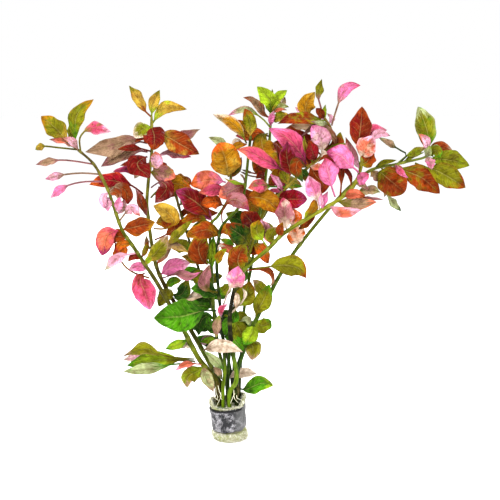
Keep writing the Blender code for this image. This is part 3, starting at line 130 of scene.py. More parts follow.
# Lead band: one strip wound a little more than once round the plug
BAND_STEPS = 220
BAND_LEVELS = 22
BAND_BOTTOM = 7.7
BAND_HEIGHT = 15.6
BAND_SHEET = 1.2
BAND_LAYER_GAP = 0.32
BAND_OUTER = 13.3
BAND_FLARE = 0.7
BAND_END = -42.0
BAND_WRAP = 405.0
BAND_LAPPED = 0.14
LAPPED_DENTS = 0.35
RIM_WAVE = 0.12
RIM_WANDER = 0.30

# Roots: sides, and the share of its radius that a root loses towards its end
ROOT_SIDES = 6
ROOT_TAPER = 0.6

# The stage, in metres: half the floor, where the lights look, and each light's place, width and share of
# the main light's power
FLOOR_REACH = 6.0
LIT_POINT = Vector((0.0, 0.0, 0.12))
LIGHTS = (("key", (-0.55, -0.75, 0.95), 0.7, 1.0), ("fill", (0.85, -0.55, 0.5), 0.9, 0.5),
          ("rim", (0.25, 0.85, 0.8), 0.8, 0.8))

# Every leaf's row, whether it is its own piece, its line and its squeeze, once place_leaves has run
PLACED = {}

# The finishes and node trees that once() has made
MADE = {}

# Each stem: its foot in the wool (x, y), its two thicknesses, then where it runs: across and up as the front
# view shows it, and back.
STEMS = {
    "left_stem": ((-6.5, -1.3), 4.2, 1.5, [
        (-9, 36, 0), (-12.5, 43, -1), (-22, 55, -3), (-31, 72, -5), (-42, 92, -7), (-51.8, 109, -8),
        (-59.5, 120.7, -9), (-67.2, 132.4, -10), (-75.7, 145.2, -10), (-82.1, 163.3, -9), (-85.7, 173.4, -9),
        (-94.7, 190, -8), (-104.5, 199.5, -7), (-112, 205, -6)]),
    "second_stem": ((-5.6, 3.6), 3.7, 1.8, [
        (-6, 34, 5), (-10, 43, 6), (-20, 62, 8), (-33, 84, 10), (-45.4, 105.3, 11), (-51.4, 119, 12),
        (-54.7, 134, 12), (-57.6, 156.5, 12), (-58.2, 165.8, 12), (-57, 181, 12), (-54.8, 201, 12),
        (-55, 225, 12)]),
    "dark_stem": ((-4.2, -5.0), 2.6, 1.8, [
        (-5, 32, -4), (-3.6, 48, -4), (-5, 70, -2), (-7.5, 97.2, 0), (-9.3, 122, 1), (-7.5, 141.3, 2),
        (-4.7, 149, 3), (7, 162, 5), (10.5, 176, 6), (13, 198, 8), (14.5, 211, 8)]),
    "middle_stem": ((-1.9, 0.9), 2.7, 1.8, [
        (-2.2, 36, 9), (-8, 62, 10), (-11.5, 90, 11), (-13, 119, 12), (-14, 140, 11), (-13, 149.7, 9),
        (-7.9, 155.4, 8), (0, 171, 8), (0, 200, 8)]),
    "right_stem": ((1.1, -6.4), 3.3, 2.2, [
        (-0.6, 29, -6.5), (4, 38, -9), (4.5, 46, -10), (1, 64, -11), (0, 86, -11), (4, 106, -12),
        (10.2, 117.6, -13), (26.6, 131.6, -14), (39, 143.5, -15), (66.5, 160.3, -15), (79.1, 168.3, -15),
        (87.8, 177.8, -14), (91.5, 188, -13), (93, 199, -13)]),
    "far_right_stem": ((5.7, -3.2), 3.8, 1.6, [
        (4.5, 34, -3), (6, 50, -3), (17.2, 79.8, -3), (27.2, 98.9, -2), (35.3, 113.9, -1), (46.5, 131.4, 0),
        (66.5, 156.4, 3), (84, 175.5, 4), (99, 187, 3), (115.2, 190.8, 1), (129, 193.9, 0), (136.5, 196, 0),
        (140, 200, 0)]),
    "crossing_stem": ((0.1, -2.4), 2.6, 1.9, [
        (-1.5, 34, 0), (0, 65, 2), (4, 95, 4), (11, 120, 5), (18, 143, 6), (25, 160, 6), (31.5, 166.6, 5),
        (47, 182, 5), (55, 189, 5), (63.5, 196.5, 6), (69, 206, 8), (70.7, 215, 9), (65.8, 224, 9)]),
    "top_stem": ((6.0, 2.7), 2.5, 1.6, [
        (6.5, 34, 4), (8, 60, 8), (10, 90, 13), (15, 120, 16), (20, 152, 18), (26, 190, 18),
        (28.3, 217, 18), (28.6, 228, 18)]),
    "back_left_stem": ((1.3, 6.4), 2.5, 1.7, [
        (2, 34, 10), (-3, 62, 17), (-12, 90, 24), (-22, 118, 29), (-30, 142, 32), (-36, 162, 33),
        (-40, 178, 33)]),
    "back_right_stem": ((2.2, 1.4), 2.5, 1.7, [
        (2.4, 34, 6.5), (3, 62, 15), (3.5, 90, 22), (8, 118, 29), (16, 142, 32), (30, 165, 33),
        (43, 189, 32), (48, 202, 31)]),
}

# Each leaf: its path from the stem to the tip as the front view shows it, the width seen, how far the blade
# is turned about its rib, how far the tip comes forward, the share that is stalk, and its three colours.
LEAVES = {
    "left_stem": [
        ([(-112, 205), (-122, 216), (-132.3, 224.7)], 13, 10, 8, 0.12, "gold olive amber"),
        ([(-111, 205), (-111.5, 213), (-112.1, 219.6)], 5.5, 30, 0, 0.10, "olive olive lime"),
        ([(-108, 203), (-107.5, 225), (-95.6, 236.5)], 10, 25, -4, 0.12, "green olive amber"),
        ([(-104.5, 200), (-105, 210), (-97, 216.5), (-83.5, 213.8)], 8, 20, 6, 0.42, "olive rose blush"),
        ([(-105.5, 201), (-111, 207), (-117, 209.5)], 5, 30, 6, 0.10, "taupe blush salmon"),
        ([(-109, 203), (-118, 207), (-126.7, 208.3)], 3.2, 60, 11, 0.15, "taupe salmon mauve"),
        ([(-107, 201), (-120, 202.6), (-131, 203.6), (-136.4, 201.2)], 5.2, 8, 2, 0.74, "olive gold olive"),
        ([(-96, 190.5), (-108, 193), (-120, 193.8), (-136.2, 190.7)], 5, 35, 6, 0.58, "mauve taupe mauve"),
        ([(-91.5, 184), (-104, 184.8), (-117, 183.6), (-129.5, 180.6)],
         5.4, 15, -4, 0.62, "taupe blush pink"),
        ([(-89, 179), (-104, 178.5), (-116, 175), (-126, 167.3)], 5.6, 20, 8, 0.60, "mauve pink blush"),
        ([(-85.5, 173), (-79, 175.5), (-72.5, 171), (-71.5, 162.8)],
         9.5, 20, -6, 0.20, "taupe rust crimson"),
        ([(-85, 172), (-79.5, 171), (-77.5, 166)], 6, 20, 5, 0.06, "taupe rust taupe"),
        ([(-80.5, 158), (-78.5, 161), (-77, 168)], 6, 25, 8, 0.10, "blush pink pink"),
        ([(-81.8, 163.3), (-85.5, 165.5), (-85.5, 158)], 5.5, 25, 7, 0.10, "blush blush pink"),
        ([(-75.7, 145.2), (-64, 147.5), (-52.4, 150.4)], 12, 10, 10, 0.08, "rust rust amber"),
        ([(-77.5, 151), (-73, 157), (-68, 160), (-63, 154.5)], 6.5, 20, 4, 0.30, "taupe blush salmon"),
        ([(-76, 145), (-86, 141), (-89.5, 127)], 12.5, 10, 8, 0.06, "rose salmon plum"),
        ([(-72, 139.5), (-80, 140), (-87.3, 137.2)], 8.5, 30, 2, 0.08, "rust rust orange"),
        ([(-52.6, 110), (-68, 115.4), (-75.5, 122), (-77, 129), (-80.5, 136)],
         10, 20, 10, 0.60, "amber orange crimson"),
        ([(-66, 128.5), (-77, 126), (-88, 116.5)], 7, 25, 12, 0.25, "blush blush sage"),
        ([(-62, 124.5), (-67, 126.5), (-71.5, 123)], 4.6, 25, 5, 0.10, "rust wine rust"),
        ([(-57, 117.5), (-64.5, 119), (-71, 117)], 7, 20, 4, 0.10, "blush pink blush"),
        ([(-56.5, 117.5), (-63, 111), (-59.5, 101), (-56, 89)], 15, 5, 12, 0.08, "rust rose pink"),
        ([(-60, 121), (-57, 124), (-53.5, 124.5)], 4.8, 25, 3, 0.10, "gold lime gold"),
        ([(-60, 121.5), (-51, 130), (-43.5, 141)], 10, 15, 4, 0.10, "gold olive taupe"),
        ([(-25.5, 63), (-31, 64.8), (-36.5, 63)], 5.5, 25, 4, 0.10, "sage cream taupe"),
        ([(-29, 69), (-36, 65), (-45.5, 61.5)], 6.5, 20, 6, 0.10, "green lime green"),
        ([(-20, 52.5), (-32, 53.5), (-50, 53.8), (-72.5, 50)], 12.5, 10, 10, 0.22, "olive lime green"),
        ([(-21.5, 54.5), (-36, 55), (-50, 58), (-60, 61.5), (-75, 56.5)],
         7.5, 30, 2, 0.45, "olive olive taupe"),
        ([(-19.5, 51.5), (-38, 51), (-52, 48.5), (-63, 47), (-75, 45.8)],
         8, 20, 16, 0.40, "green sage sage"),
        ([(-22, 53.5), (-42, 56), (-58, 57), (-75, 54)], 8.5, 20, -3, 0.45, "olive blush cream"),
        ([(-19, 50.5), (-30, 51), (-38.5, 46.5)], 4.6, 30, 13, 0.30, "salmon salmon blush"),
        ([(-18, 49.5), (-22.5, 46), (-29.5, 41.5), (-30, 34.5)], 11, 10, 10, 0.12, "lime olive taupe"),
        ([(-19, 50.5), (-17, 43), (-11.5, 31.5)], 8, 15, 9, 0.10, "taupe sage taupe"),
        ([(-70, 134), (-76, 134.5), (-79.5, 129)], 6.5, 15, 6, 0.10, "amber orange crimson"),
        ([(-13.5, 44), (-9.5, 47.5), (-5.5, 40)], 5.5, 15, 8, 0.10, "dark taupe dark"),
        ([(-62.5, 125), (-59.5, 130), (-57.5, 137)], 4, 20, -3, 0.10, "rust olive rust"),
        ([(-79.5, 155.5), (-75.5, 160), (-74, 167)], 5, 20, -3, 0.10, "blush taupe rust"),
        ([(-85.3, 171.5), (-89, 167.5), (-88, 160)], 5.5, 20, 5, 0.10, "blush blush pink"),
    ],
    "second_stem": [
        ([(-55, 224), (-60, 229), (-63.5, 236), (-70.6, 246.1)], 7.5, 30, 4, 0.18, "rust gold olive"),
        ([(-55, 225), (-53.5, 234), (-49.3, 243)], 7.5, 15, 0, 0.10, "lime gold olive"),
        ([(-54.8, 219), (-45, 230.8), (-30.2, 229.5)], 8, 20, -4, 0.14, "lime gold amber"),
        ([(-55, 217), (-61, 215.5), (-67, 209.5)], 10.5, 15, 6, 0.08, "lime olive cream"),
        ([(-54.8, 217), (-53, 210), (-53.5, 201)], 15, 0, 12, 0.05, "wine wine rust"),
        ([(-55, 211), (-61, 210.5), (-66.5, 206.5)], 4.5, 25, 9, 0.10, "rust wine rust"),
        ([(-55, 211), (-44, 210), (-34, 204.5), (-21.5, 198)], 15, 10, 8, 0.15, "gold rust wine"),
        ([(-55, 209), (-46, 209.5), (-34, 210.5), (-21, 215.5)], 7, 45, -6, 0.20, "olive mauve taupe"),
        ([(-55.5, 191), (-50.6, 196.5), (-42, 199), (-27, 196)], 5.8, 48, -8, 0.25, "blush mauve rose"),
        ([(-55, 205), (-68, 207), (-84, 203), (-101.5, 199.5)], 13, 15, 8, 0.15, "mauve taupe taupe"),
        ([(-55, 199), (-66, 200.5), (-77, 197.5), (-90.5, 189.3)], 9.5, 20, 2, 0.15, "mauve taupe mauve"),
        ([(-56.2, 198), (-65, 191.5), (-56.5, 181.5)], 15, 10, 13, 0.08, "wine wine wine"),
        ([(-56, 191), (-67, 193), (-77, 190)], 4.8, 30, 7, 0.15, "wine crimson rust"),
        ([(-56.7, 184), (-70, 187.5), (-82, 186)], 6, 30, 4, 0.20, "plum plum rose"),
        ([(-56.7, 183), (-63, 186), (-67, 181)], 6, 25, 10, 0.10, "taupe cream taupe"),
        ([(-56, 189), (-51.5, 193), (-52.5, 200)], 9, 10, 6, 0.10, "gold blush salmon"),
        ([(-56.5, 185.5), (-47, 184.8), (-38, 182)], 11.5, 10, 8, 0.10, "olive mauve salmon"),
        ([(-57.5, 173), (-49, 178.5), (-44.5, 174), (-52.5, 163.8)], 11, 10, 13, 0.22, "mauve wine wine"),
        ([(-58, 168), (-70, 176.5), (-86, 179.5), (-98.7, 176.7)], 11, 15, 16, 0.25, "wine crimson orange"),
        ([(-57.5, 152.5), (-61.5, 163), (-66.2, 173.5)], 6, 35, 6, 0.15, "mauve rust mauve"),
        ([(-57, 146), (-45, 146), (-39, 151), (-45.5, 158.5), (-54, 162)],
         12, 8, 14, 0.38, "amber gold gold"),
        ([(-55.3, 137), (-46, 141), (-37, 146.5), (-28, 151.5)], 10.5, 12, 10, 0.30, "rust rust orange"),
        ([(-51.8, 120), (-48, 126), (-44, 132), (-41, 138.5)], 7, 30, 7, 0.12, "salmon taupe rust"),
        ([(-54, 131), (-44, 135.5), (-36, 142), (-26, 152)], 6.5, 40, 17, 0.30, "gold olive olive"),
        ([(-53.5, 128), (-47, 131.5), (-39, 134), (-29, 129)], 4.8, 30, 10, 0.30, "gold taupe gold"),
        ([(-49, 113.5), (-40, 119), (-28, 121.5)], 12.5, 10, 6, 0.10, "pink pink blush"),
        ([(-48, 111), (-36, 114.5), (-28, 112), (-20.5, 115.5)], 5.6, 35, 11, 0.30, "mauve mauve pink"),
        ([(-42.8, 106.5), (-45, 100), (-50, 91.5)], 10.5, 10, 15, 0.08, "olive olive olive"),
        ([(-45, 104), (-38, 99), (-33, 101), (-29, 110.5)], 10.5, 15, 7, 0.25, "dark dark olive"),
        ([(-57.6, 164.5), (-51, 172), (-41, 177.5), (-27, 174.5)], 11, 12, -2, 0.30, "olive amber orange"),
        ([(-19, 61), (-12, 63), (-3, 63.5), (9, 59.5)], 10, 12, 18, 0.10, "taupe cream cream"),
        ([(-21, 64.5), (-16, 68.3), (-10.5, 68)], 6, 20, 12, 0.10, "blush taupe taupe"),
        ([(-55.3, 200), (-66, 202.4), (-79, 201.5)], 4.6, 20, 13, 0.30, "wine wine rust"),
        ([(-54, 131), (-58, 134), (-58.5, 141)], 3.6, 25, 4, 0.15, "olive taupe olive"),
        ([(-45.5, 104.5), (-41, 108.5), (-34, 109.5)], 7, 15, 5, 0.10, "olive green olive"),
    ],
    "dark_stem": [
        ([(-7, 88), (-18, 88.5), (-35, 84.3), (-53.5, 83.3)], 21.5, 5, 10, 0.20, "dark green green"),
        ([(-8, 101.5), (-14, 102.5), (-23, 98.8), (-37, 95.5)], 5.4, 40, 17, 0.12, "cream cream gold"),
        ([(-7.6, 98), (-18, 103.5), (-27.5, 104)], 11, 10, 5, 0.15, "dark dark green"),
        ([(-8, 101), (-15, 103), (-18, 110), (-14.5, 121)], 8.5, 20, 9, 0.22, "olive mauve mauve"),
        ([(-7.5, 141), (-17, 145), (-31, 140.5)], 11.5, 15, 12, 0.08, "amber rust amber"),
        ([(-7.2, 142.5), (-1, 145.5), (6.5, 141.5)], 8, 20, 11, 0.10, "rust amber rust"),
        ([(-9.2, 130), (-7.5, 133.5), (-3, 133.6)], 2.2, 30, 4, 0.10, "cream cream cream"),
        ([(-9.2, 120), (-7, 127), (-2.5, 132)], 6, 20, 3, 0.10, "lime amber lime"),
        ([(-8, 100), (-3, 103), (1, 107)], 7.5, 15, 4, 0.10, "green olive green"),
        ([(-8, 136), (-3, 133), (4.5, 130)], 6.5, 20, 6, 0.10, "orange salmon rust"),
        ([(-7.7, 139), (-3, 137.3), (3.5, 134)], 4.2, 30, 7, 0.10, "olive green olive"),
        ([(-6.4, 87), (-3, 97), (0.3, 104.5), (4.5, 112), (6, 119.8)], 13, 5, 17, 0.50, "cream pink pink"),
        ([(-6, 83), (-6.5, 88.5), (-1.5, 93.5)], 4.4, 20, 9, 0.12, "blush rose blush"),
        ([(-6.3, 87), (-9, 80), (-9.7, 69.5)], 6, 22, 9, 0.15, "lime taupe mauve"),
        ([(-6.2, 85.5), (0, 84), (6, 76), (11.5, 65)], 11.5, 10, 15, 0.25, "lime olive olive"),
        ([(-3.7, 46.5), (-10, 53), (-18, 60)], 6, 25, 10, 0.08, "green sage sage"),
        ([(10.5, 176), (3, 173.5), (-8, 168)], 13.5, 10, 15, 0.08, "rust mauve salmon"),
        ([(10.6, 177), (2, 178.3), (-4, 181.2)], 2.4, 30, 17, 0.10, "lime lime gold"),
        ([(-5.3, 147.5), (-5.5, 158), (0.5, 166), (7, 165), (13.5, 158.5)],
         10.5, 12, 17, 0.42, "rust mauve plum"),
        ([(8, 165), (16, 167.8), (26, 165.5), (36.8, 156)], 14, 8, 11, 0.06, "rust amber rust"),
        ([(13, 202), (6, 216), (-3, 222.5), (-12, 226)], 8.5, 15, 8, 0.16, "olive amber cream"),
        ([(14, 207), (9.5, 216.5), (4, 222.3)], 7.5, 20, 4, 0.14, "rust amber rust"),
        ([(14.4, 210), (14, 220), (10.3, 230)], 9.5, 5, 1, 0.08, "gold olive rust"),
        ([(10.7, 178), (9.5, 181.5), (7, 184.2)], 1.4, 30, 6, 0.50, "taupe taupe taupe"),
    ],
    "middle_stem": [
        ([(-13, 121), (-22, 125), (-34, 126.5)], 8, 32, 10, 0.10, "lime olive gold"),
        ([(-13, 119), (-19.5, 124), (-22, 133), (-17, 142)], 15, 5, 15, 0.10, "rust rust olive"),
        ([(-13, 117), (-12.3, 128), (-11.5, 141)], 6.5, 18, 6, 0.06, "green lime green"),
        ([(-12, 151), (-20, 161), (-29, 168), (-38, 172.5)], 16, 5, 12, 0.12, "rust wine plum"),
        ([(-13, 149.5), (-23, 153.8), (-34, 150.8)], 8, 20, 17, 0.18, "olive rust amber"),
        ([(-12, 151), (-18, 156), (-24.5, 158)], 6.5, 25, 7, 0.12, "pink plum pink"),
        ([(0, 177.5), (-12, 180), (-28, 177)], 14, 10, 0, 0.14, "pink salmon orange"),
        ([(0, 171.5), (-11, 173), (-22, 171)], 8.5, 18, 7, 0.15, "crimson rose salmon"),
        ([(-4.5, 162), (-10.5, 165), (-20.5, 163)], 10, 12, 5, 0.10, "rust orange rust"),
        ([(0, 178), (-1.5, 185), (-3, 194), (-7.5, 206)], 21, 4, 11, 0.10, "gold amber orange"),
        ([(0, 198), (-6, 206), (-15, 210)], 6.5, 30, 6, 0.10, "olive sage sage"),
        ([(0, 199), (4, 208), (9, 206)], 2.2, 30, 2, 0.20, "cream cream taupe"),
        ([(-10.5, 82), (-17, 84.5), (-21, 79), (-22, 71)], 8.5, 15, 6, 0.10, "green dark dark"),
        ([(-11.5, 94), (-20, 99.5), (-29, 98)], 10, 10, 2, 0.12, "dark dark dark"),
        ([(-12, 104), (-20, 111), (-29, 115)], 11, 10, 5, 0.12, "olive olive dark"),
        ([(-8.4, 64), (-14, 67.5), (-21, 66.5)], 5.5, 15, 9, 0.10, "green lime green"),
        ([(-9.3, 74), (-14, 77.5), (-16, 87)], 5, 15, 11, 0.10, "dark green dark"),
        ([(0, 181), (4, 187), (8, 196)], 6.5, 15, 2, 0.10, "rust dark rust"),
        ([(0, 198.5), (5, 204), (12, 205)], 5, 20, 4, 0.15, "olive amber rust"),
    ],
    "right_stem": [
        ([(27, 132), (22.5, 138), (18.5, 144), (20, 152)], 11, 22, -5, 0.30, "lime olive amber"),
        ([(29, 134), (25.5, 143), (22, 152.5)], 8.5, 18, -9, 0.12, "salmon mauve blush"),
        ([(31, 136), (28.5, 141), (33.5, 146.8)], 7.5, 20, -6, 0.10, "olive olive taupe"),
        ([(10.5, 117.2), (24, 118.8), (37, 120.3), (48, 118), (53.5, 111)],
         14, 4, 6, 0.30, "olive olive rust"),
        ([(9.8, 116.5), (18, 117.3), (27, 116.5), (30.5, 110), (27.5, 104.5)],
         4, 35, -6, 0.25, "rust rust taupe"),
        ([(0, 84), (5, 91), (11, 99.5), (14, 109)], 13, 10, -7, 0.20, "lime olive amber"),
        ([(9.5, 117), (5.5, 122), (7, 129), (11.5, 134)], 14, 5, 5, 0.06, "olive rust olive"),
        ([(3.7, 105.5), (1, 114), (1.8, 124)], 6, 30, -3, 0.08, "rust rust amber"),
        ([(2.8, 102), (5.2, 98), (3.8, 90.5)], 4.6, 18, 4, 0.10, "taupe cream taupe"),
        ([(0.2, 86), (8, 94), (10.8, 100), (8.5, 104.5)], 2.4, 20, 5, 0.60, "cream cream sage"),
        ([(0, 86), (-2.5, 79), (-3, 69.5)], 5.4, 20, -5, 0.10, "dark green dark"),
        ([(0.5, 72), (4, 66.5), (9, 60.5)], 9, 15, 3, 0.10, "olive green green"),
        ([(0.2, 79), (3.3, 83.5), (4, 88.8)], 6.5, 15, -5, 0.10, "dark green green"),
        ([(51, 151), (58.5, 160), (61.5, 169.5)], 7, 22, -5, 0.06, "lime amber rust"),
        ([(61, 156.8), (55, 150.5), (48, 145.5)], 6, 35, -6, 0.08, "rust rust amber"),
        ([(63, 158), (61.5, 165), (58, 174), (55, 183)], 11, 5, 6, 0.28, "cream pink blush"),
        ([(64, 158.8), (65.5, 164), (68.5, 172)], 4.8, 25, 1, 0.12, "pink pink mauve"),
        ([(74.5, 165.5), (71, 176), (69, 185), (66.5, 195.5)], 13, 15, 6, 0.28, "pink pink rose"),
        ([(77, 167), (78, 180), (76, 190.5), (68, 196.5), (61.5, 192.5)],
         4.8, 35, -3, 0.18, "rust wine rust"),
        ([(88.5, 179.5), (90, 185), (84, 190.5), (77, 197.5), (67.5, 199.5)],
         14, 12, 7, 0.18, "pink pink plum"),
        ([(88.5, 179.5), (92.5, 181), (97.3, 184)], 8, 15, 9, 0.08, "pink pink rose"),
        ([(85, 174.7), (83.8, 183), (77, 192)], 3.2, 45, -4, 0.12, "rust wine rust"),
        ([(87.5, 177.5), (92, 176.7), (96.8, 173.5)], 3.6, 30, 3, 0.10, "mauve taupe mauve"),
        ([(79, 168.2), (86, 170.3), (94.8, 168.8)], 7, 20, 5, 0.08, "rust salmon rust"),
        ([(81, 170), (92, 171.8), (99, 172.7), (105.5, 171.3)], 6.5, 40, -1, 0.35, "olive taupe sage"),
        ([(80, 169), (95, 167.5), (107.5, 166.2)], 2.4, 30, 2, 0.40, "rust mauve mauve"),
        ([(74, 165), (88, 163.3), (103, 164.5)], 9, 18, 8, 0.10, "olive taupe salmon"),
        ([(69, 161.8), (79, 157.2), (92, 158.8)], 7.5, 10, 12, 0.08, "blush salmon blush"),
        ([(40, 144.3), (38.3, 150), (38.5, 157.5), (37, 167.5)], 13, 8, -6, 0.14, "cream mauve rose"),
        ([(43, 146), (45.5, 153), (41, 161)], 9.5, 15, -10, 0.08, "cream orange rust"),
        ([(93, 198), (90.3, 206), (91.5, 217), (92.5, 231.5)], 14, 4, -2, 0.10, "rust wine rust"),
        ([(92.6, 195), (94.5, 201.5), (100.5, 210.8)], 13, 5, 8, 0.05, "cream salmon blush"),
        ([(93, 198.5), (95, 207), (99, 211.5)], 4.5, 25, 10, 0.15, "gold lime gold"),
        ([(93, 199), (98.5, 213.5), (110, 215)], 9, 15, -6, 0.35, "rose rose blush"),
        ([(93, 198), (103, 212), (112.3, 211)], 6, 25, -2, 0.40, "blush blush mauve"),
        ([(92, 191), (96, 193), (100.3, 200)], 9.5, 12, 3, 0.05, "olive rust rust"),
        ([(91.3, 188), (87.5, 193), (85.5, 197.3)], 4.6, 20, -3, 0.10, "lime green lime"),
        ([(34.5, 139.3), (35, 145), (37, 150.5)], 5.5, 15, 4, 0.08, "rust rust amber"),
        ([(91, 187), (86, 197), (81, 210)], 6.5, 15, -4, 0.08, "blush mauve rust"),
        ([(65.3, 159.7), (63.6, 165), (64.3, 171)], 3.5, 15, 5, 0.10, "pink blush pink"),
    ],
    "far_right_stem": [
        ([(16.8, 79), (19, 88), (24, 97), (27.5, 107)], 12, 4, 8, 0.06, "olive olive green"),
        ([(16.5, 78.5), (15, 72.5), (9.8, 64.3)], 11, 8, 8, 0.06, "lime lime green"),
        ([(17.5, 80.5), (23, 78), (28.7, 81.4)], 10.5, 10, 4, 0.06, "lime olive green"),
        ([(11, 64), (16, 63.5), (15.5, 53.8)], 11, 10, 4, 0.06, "olive olive taupe"),
        ([(15.5, 76), (12, 82.5), (6.8, 80.8)], 4.6, 25, -4, 0.12, "dark sage sage"),
        ([(4.3, 32), (12, 33.5), (22, 37.6), (30.3, 36)], 11.5, 10, 6, 0.12, "dark green lime"),
        ([(49, 135), (46, 141.5), (43.5, 149.5)], 12, 8, 5, 0.10, "cream orange amber"),
        ([(98.3, 186.4), (101.5, 184), (103.5, 179)], 6, 35, 3, 0.10, "gold taupe mauve"),
        ([(101, 187.8), (105, 185.5), (113, 179), (122.3, 171.3)], 19, 4, 9, 0.03, "olive rust rust"),
        ([(114, 190.8), (117.5, 187), (121, 180)], 7.5, 12, 4, 0.05, "sage salmon rose"),
        ([(106, 189.3), (111, 178), (108, 168)], 7, 20, -5, 0.20, "olive sage taupe"),
        ([(110, 190.3), (109, 176), (111.5, 167.5), (120, 158)], 5, 30, -3, 0.58, "sage sage dark"),
        ([(117, 191.2), (124.5, 197.3), (131, 200), (137.5, 203.3)], 5.4, 30, 6, 0.35, "lime olive taupe"),
        ([(118, 191.5), (124, 197.3), (120, 200.3), (113, 204.5), (104.5, 209.5)],
         4.2, 35, 9, 0.55, "dark taupe sage"),
        ([(113, 191), (123, 186.3), (135, 181), (147, 170.5)], 16, 4, 7, 0.12, "olive rust rust"),
        ([(115.5, 191), (121, 184), (124.8, 181.5)], 4.4, 20, 3, 0.15, "pink rose pink"),
        ([(126, 193.2), (134, 190), (149, 184.5), (165, 174.5)], 15, 6, 11, 0.24, "olive olive rust"),
        ([(136, 195.8), (145, 194.5), (155, 193.8), (167.7, 190)], 13, 8, 4, 0.10, "lime olive olive"),
        ([(139, 198.5), (146, 202.8), (156.3, 199.8)], 8.5, 12, -3, 0.06, "olive rust taupe"),
        ([(138.5, 198), (144, 200.5), (147, 195.5)], 8, 15, 8, 0.06, "green olive green"),
        ([(139.7, 199.5), (139.3, 208), (136.7, 219), (131.7, 231.3)],
         13.5, 4, -1, 0.08, "green olive sage"),
        ([(138.5, 198.3), (137.5, 207), (132.2, 212.4)], 5.5, 18, 5, 0.15, "cream blush salmon"),
        ([(138.3, 198), (135.7, 205), (132, 210.8)], 1.8, 30, 8, 0.20, "rust rust rust"),
        ([(137, 196.4), (138.8, 199.5), (140, 204)], 5.5, 10, 8, 0.05, "sage sage lime"),
        ([(137.5, 197), (140.3, 192.3), (141.3, 187.4)], 6, 12, 9, 0.08, "sage pink pink"),
        ([(27.5, 99.5), (23, 103), (16, 110)], 9, 12, 5, 0.06, "olive olive taupe"),
        ([(100, 188), (107, 192), (117, 194)], 3.5, 20, 4, 0.10, "dark olive olive"),
        ([(121, 192.5), (128, 196.8), (136, 199.3)], 3.2, 20, 3, 0.10, "lime olive lime"),
    ],
    "crossing_stem": [
        ([(19, 145), (15, 150.5), (8.5, 158)], 14.5, 5, 12, 0.05, "rust wine rust"),
        ([(14.5, 132), (9, 140), (-3, 148.5)], 15, 4, 17, 0.06, "olive dark rust"),
        ([(15.5, 135.5), (20.5, 132.5), (24, 127), (27, 121.3)], 9, 12, 5, 0.08, "olive orange rust"),
        ([(13.5, 129), (7.5, 135), (1, 138.7)], 6.5, 20, 9, 0.10, "rust plum pink"),
        ([(-1.2, 41), (4, 44), (11, 45), (18.7, 44.3)], 7.5, 12, 14, 0.08, "cream cream cream"),
        ([(56, 189.8), (60, 183), (65, 177.5), (63.3, 169.8)], 12, 8, 8, 0.06, "rust rust wine"),
        ([(56, 190), (61, 188.8), (68, 189)], 5, 20, 13, 0.06, "cream salmon salmon"),
        ([(33, 168), (41, 166.5), (54, 166.5)], 14.5, 4, 8, 0.05, "wine crimson plum"),
        ([(38, 173.2), (34.5, 178.5), (29, 181)], 7, 15, 6, 0.08, "crimson plum crimson"),
        ([(37, 172.2), (32.5, 180), (27.8, 184.3)], 4.4, 20, 10, 0.12, "pink blush pink"),
        ([(41, 176), (38.3, 182), (34, 188)], 7, 18, 3, 0.10, "gold olive rust"),
        ([(36, 171.2), (31.5, 172.6), (26.5, 172)], 3, 20, 5, 0.08, "pink rose pink"),
        ([(40, 175.2), (28.5, 175.4), (20, 176), (12.5, 174.3)], 9, 8, 6, 0.42, "green rose salmon"),
        ([(40.5, 175.6), (46, 175.9), (51, 175.4)], 2.4, 20, -3, 0.30, "lime green lime"),
        ([(48, 183), (37, 187), (25, 193.5), (14, 199.5), (4.5, 201.5)],
         11, 12, 16, 0.25, "plum rose salmon"),
        ([(54.5, 188.8), (49.5, 198.5), (40.5, 209), (27, 216.3)], 13, 6, 11, 0.05, "plum rose pink"),
        ([(50, 184.8), (42.5, 188), (39.8, 196), (40, 207)], 11.5, 12, 15, 0.15, "wine wine plum"),
        ([(54, 188.3), (48, 193), (46.5, 187), (51, 178.5)], 10, 10, 19, 0.12, "dark rust dark"),
        ([(55.5, 190), (54.3, 198), (50.5, 207.8)], 5, 35, 6, 0.06, "wine rust wine"),
        ([(63.5, 197), (64.3, 202), (63, 209.5), (57.5, 218)], 14, 6, 8, 0.10, "cream blush pink"),
        ([(60, 193.8), (57.5, 200), (55.5, 208)], 9.5, 12, 14, 0.06, "wine crimson rust"),
        ([(58, 192), (52.7, 203), (52, 211)], 3.2, 30, 12, 0.25, "lime gold lime"),
        ([(66.5, 201), (74, 205.5), (70, 212.5), (60, 217.3), (49, 210)],
         5.6, 30, 1, 0.10, "rust taupe mauve"),
        ([(67, 202), (75, 205), (77.4, 213.6)], 8, 10, -1, 0.10, "rust rust olive"),
        ([(65, 199), (76, 203.8), (86.5, 202)], 5, 45, 3, 0.15, "olive olive rust"),
        ([(63.3, 196.4), (65.5, 198.5), (69, 198)], 4, 20, 13, 0.06, "cream cream cream"),
        ([(67.3, 221.5), (56, 222.3), (43, 222.8), (33.3, 219.3)], 8.5, 30, 10, 0.10, "lime rust wine"),
        ([(66, 223.5), (57.5, 223), (53, 228), (54, 235), (59.5, 241.7)],
         11.5, 4, 4, 0.28, "gold amber gold"),
        ([(66, 223.5), (63.2, 232.5), (61.8, 240), (64.3, 250.8)], 5.6, 30, -4, 0.45, "mauve olive olive"),
        ([(66, 223.8), (63, 227), (60.3, 230.3)], 6, 12, 7, 0.08, "wine rust wine"),
        ([(66.5, 222.5), (66.2, 229), (67, 232.8)], 3, 25, 1, 0.10, "lime lime sage"),
        ([(69, 219), (71.5, 223), (68, 226.6)], 3.6, 20, -5, 0.12, "blush blush taupe"),
        ([(70.7, 215.5), (73.6, 226.3), (77.6, 237.6), (83.2, 245.4), (91.5, 246.3)],
         8, 15, -6, 0.40, "taupe pink rose"),
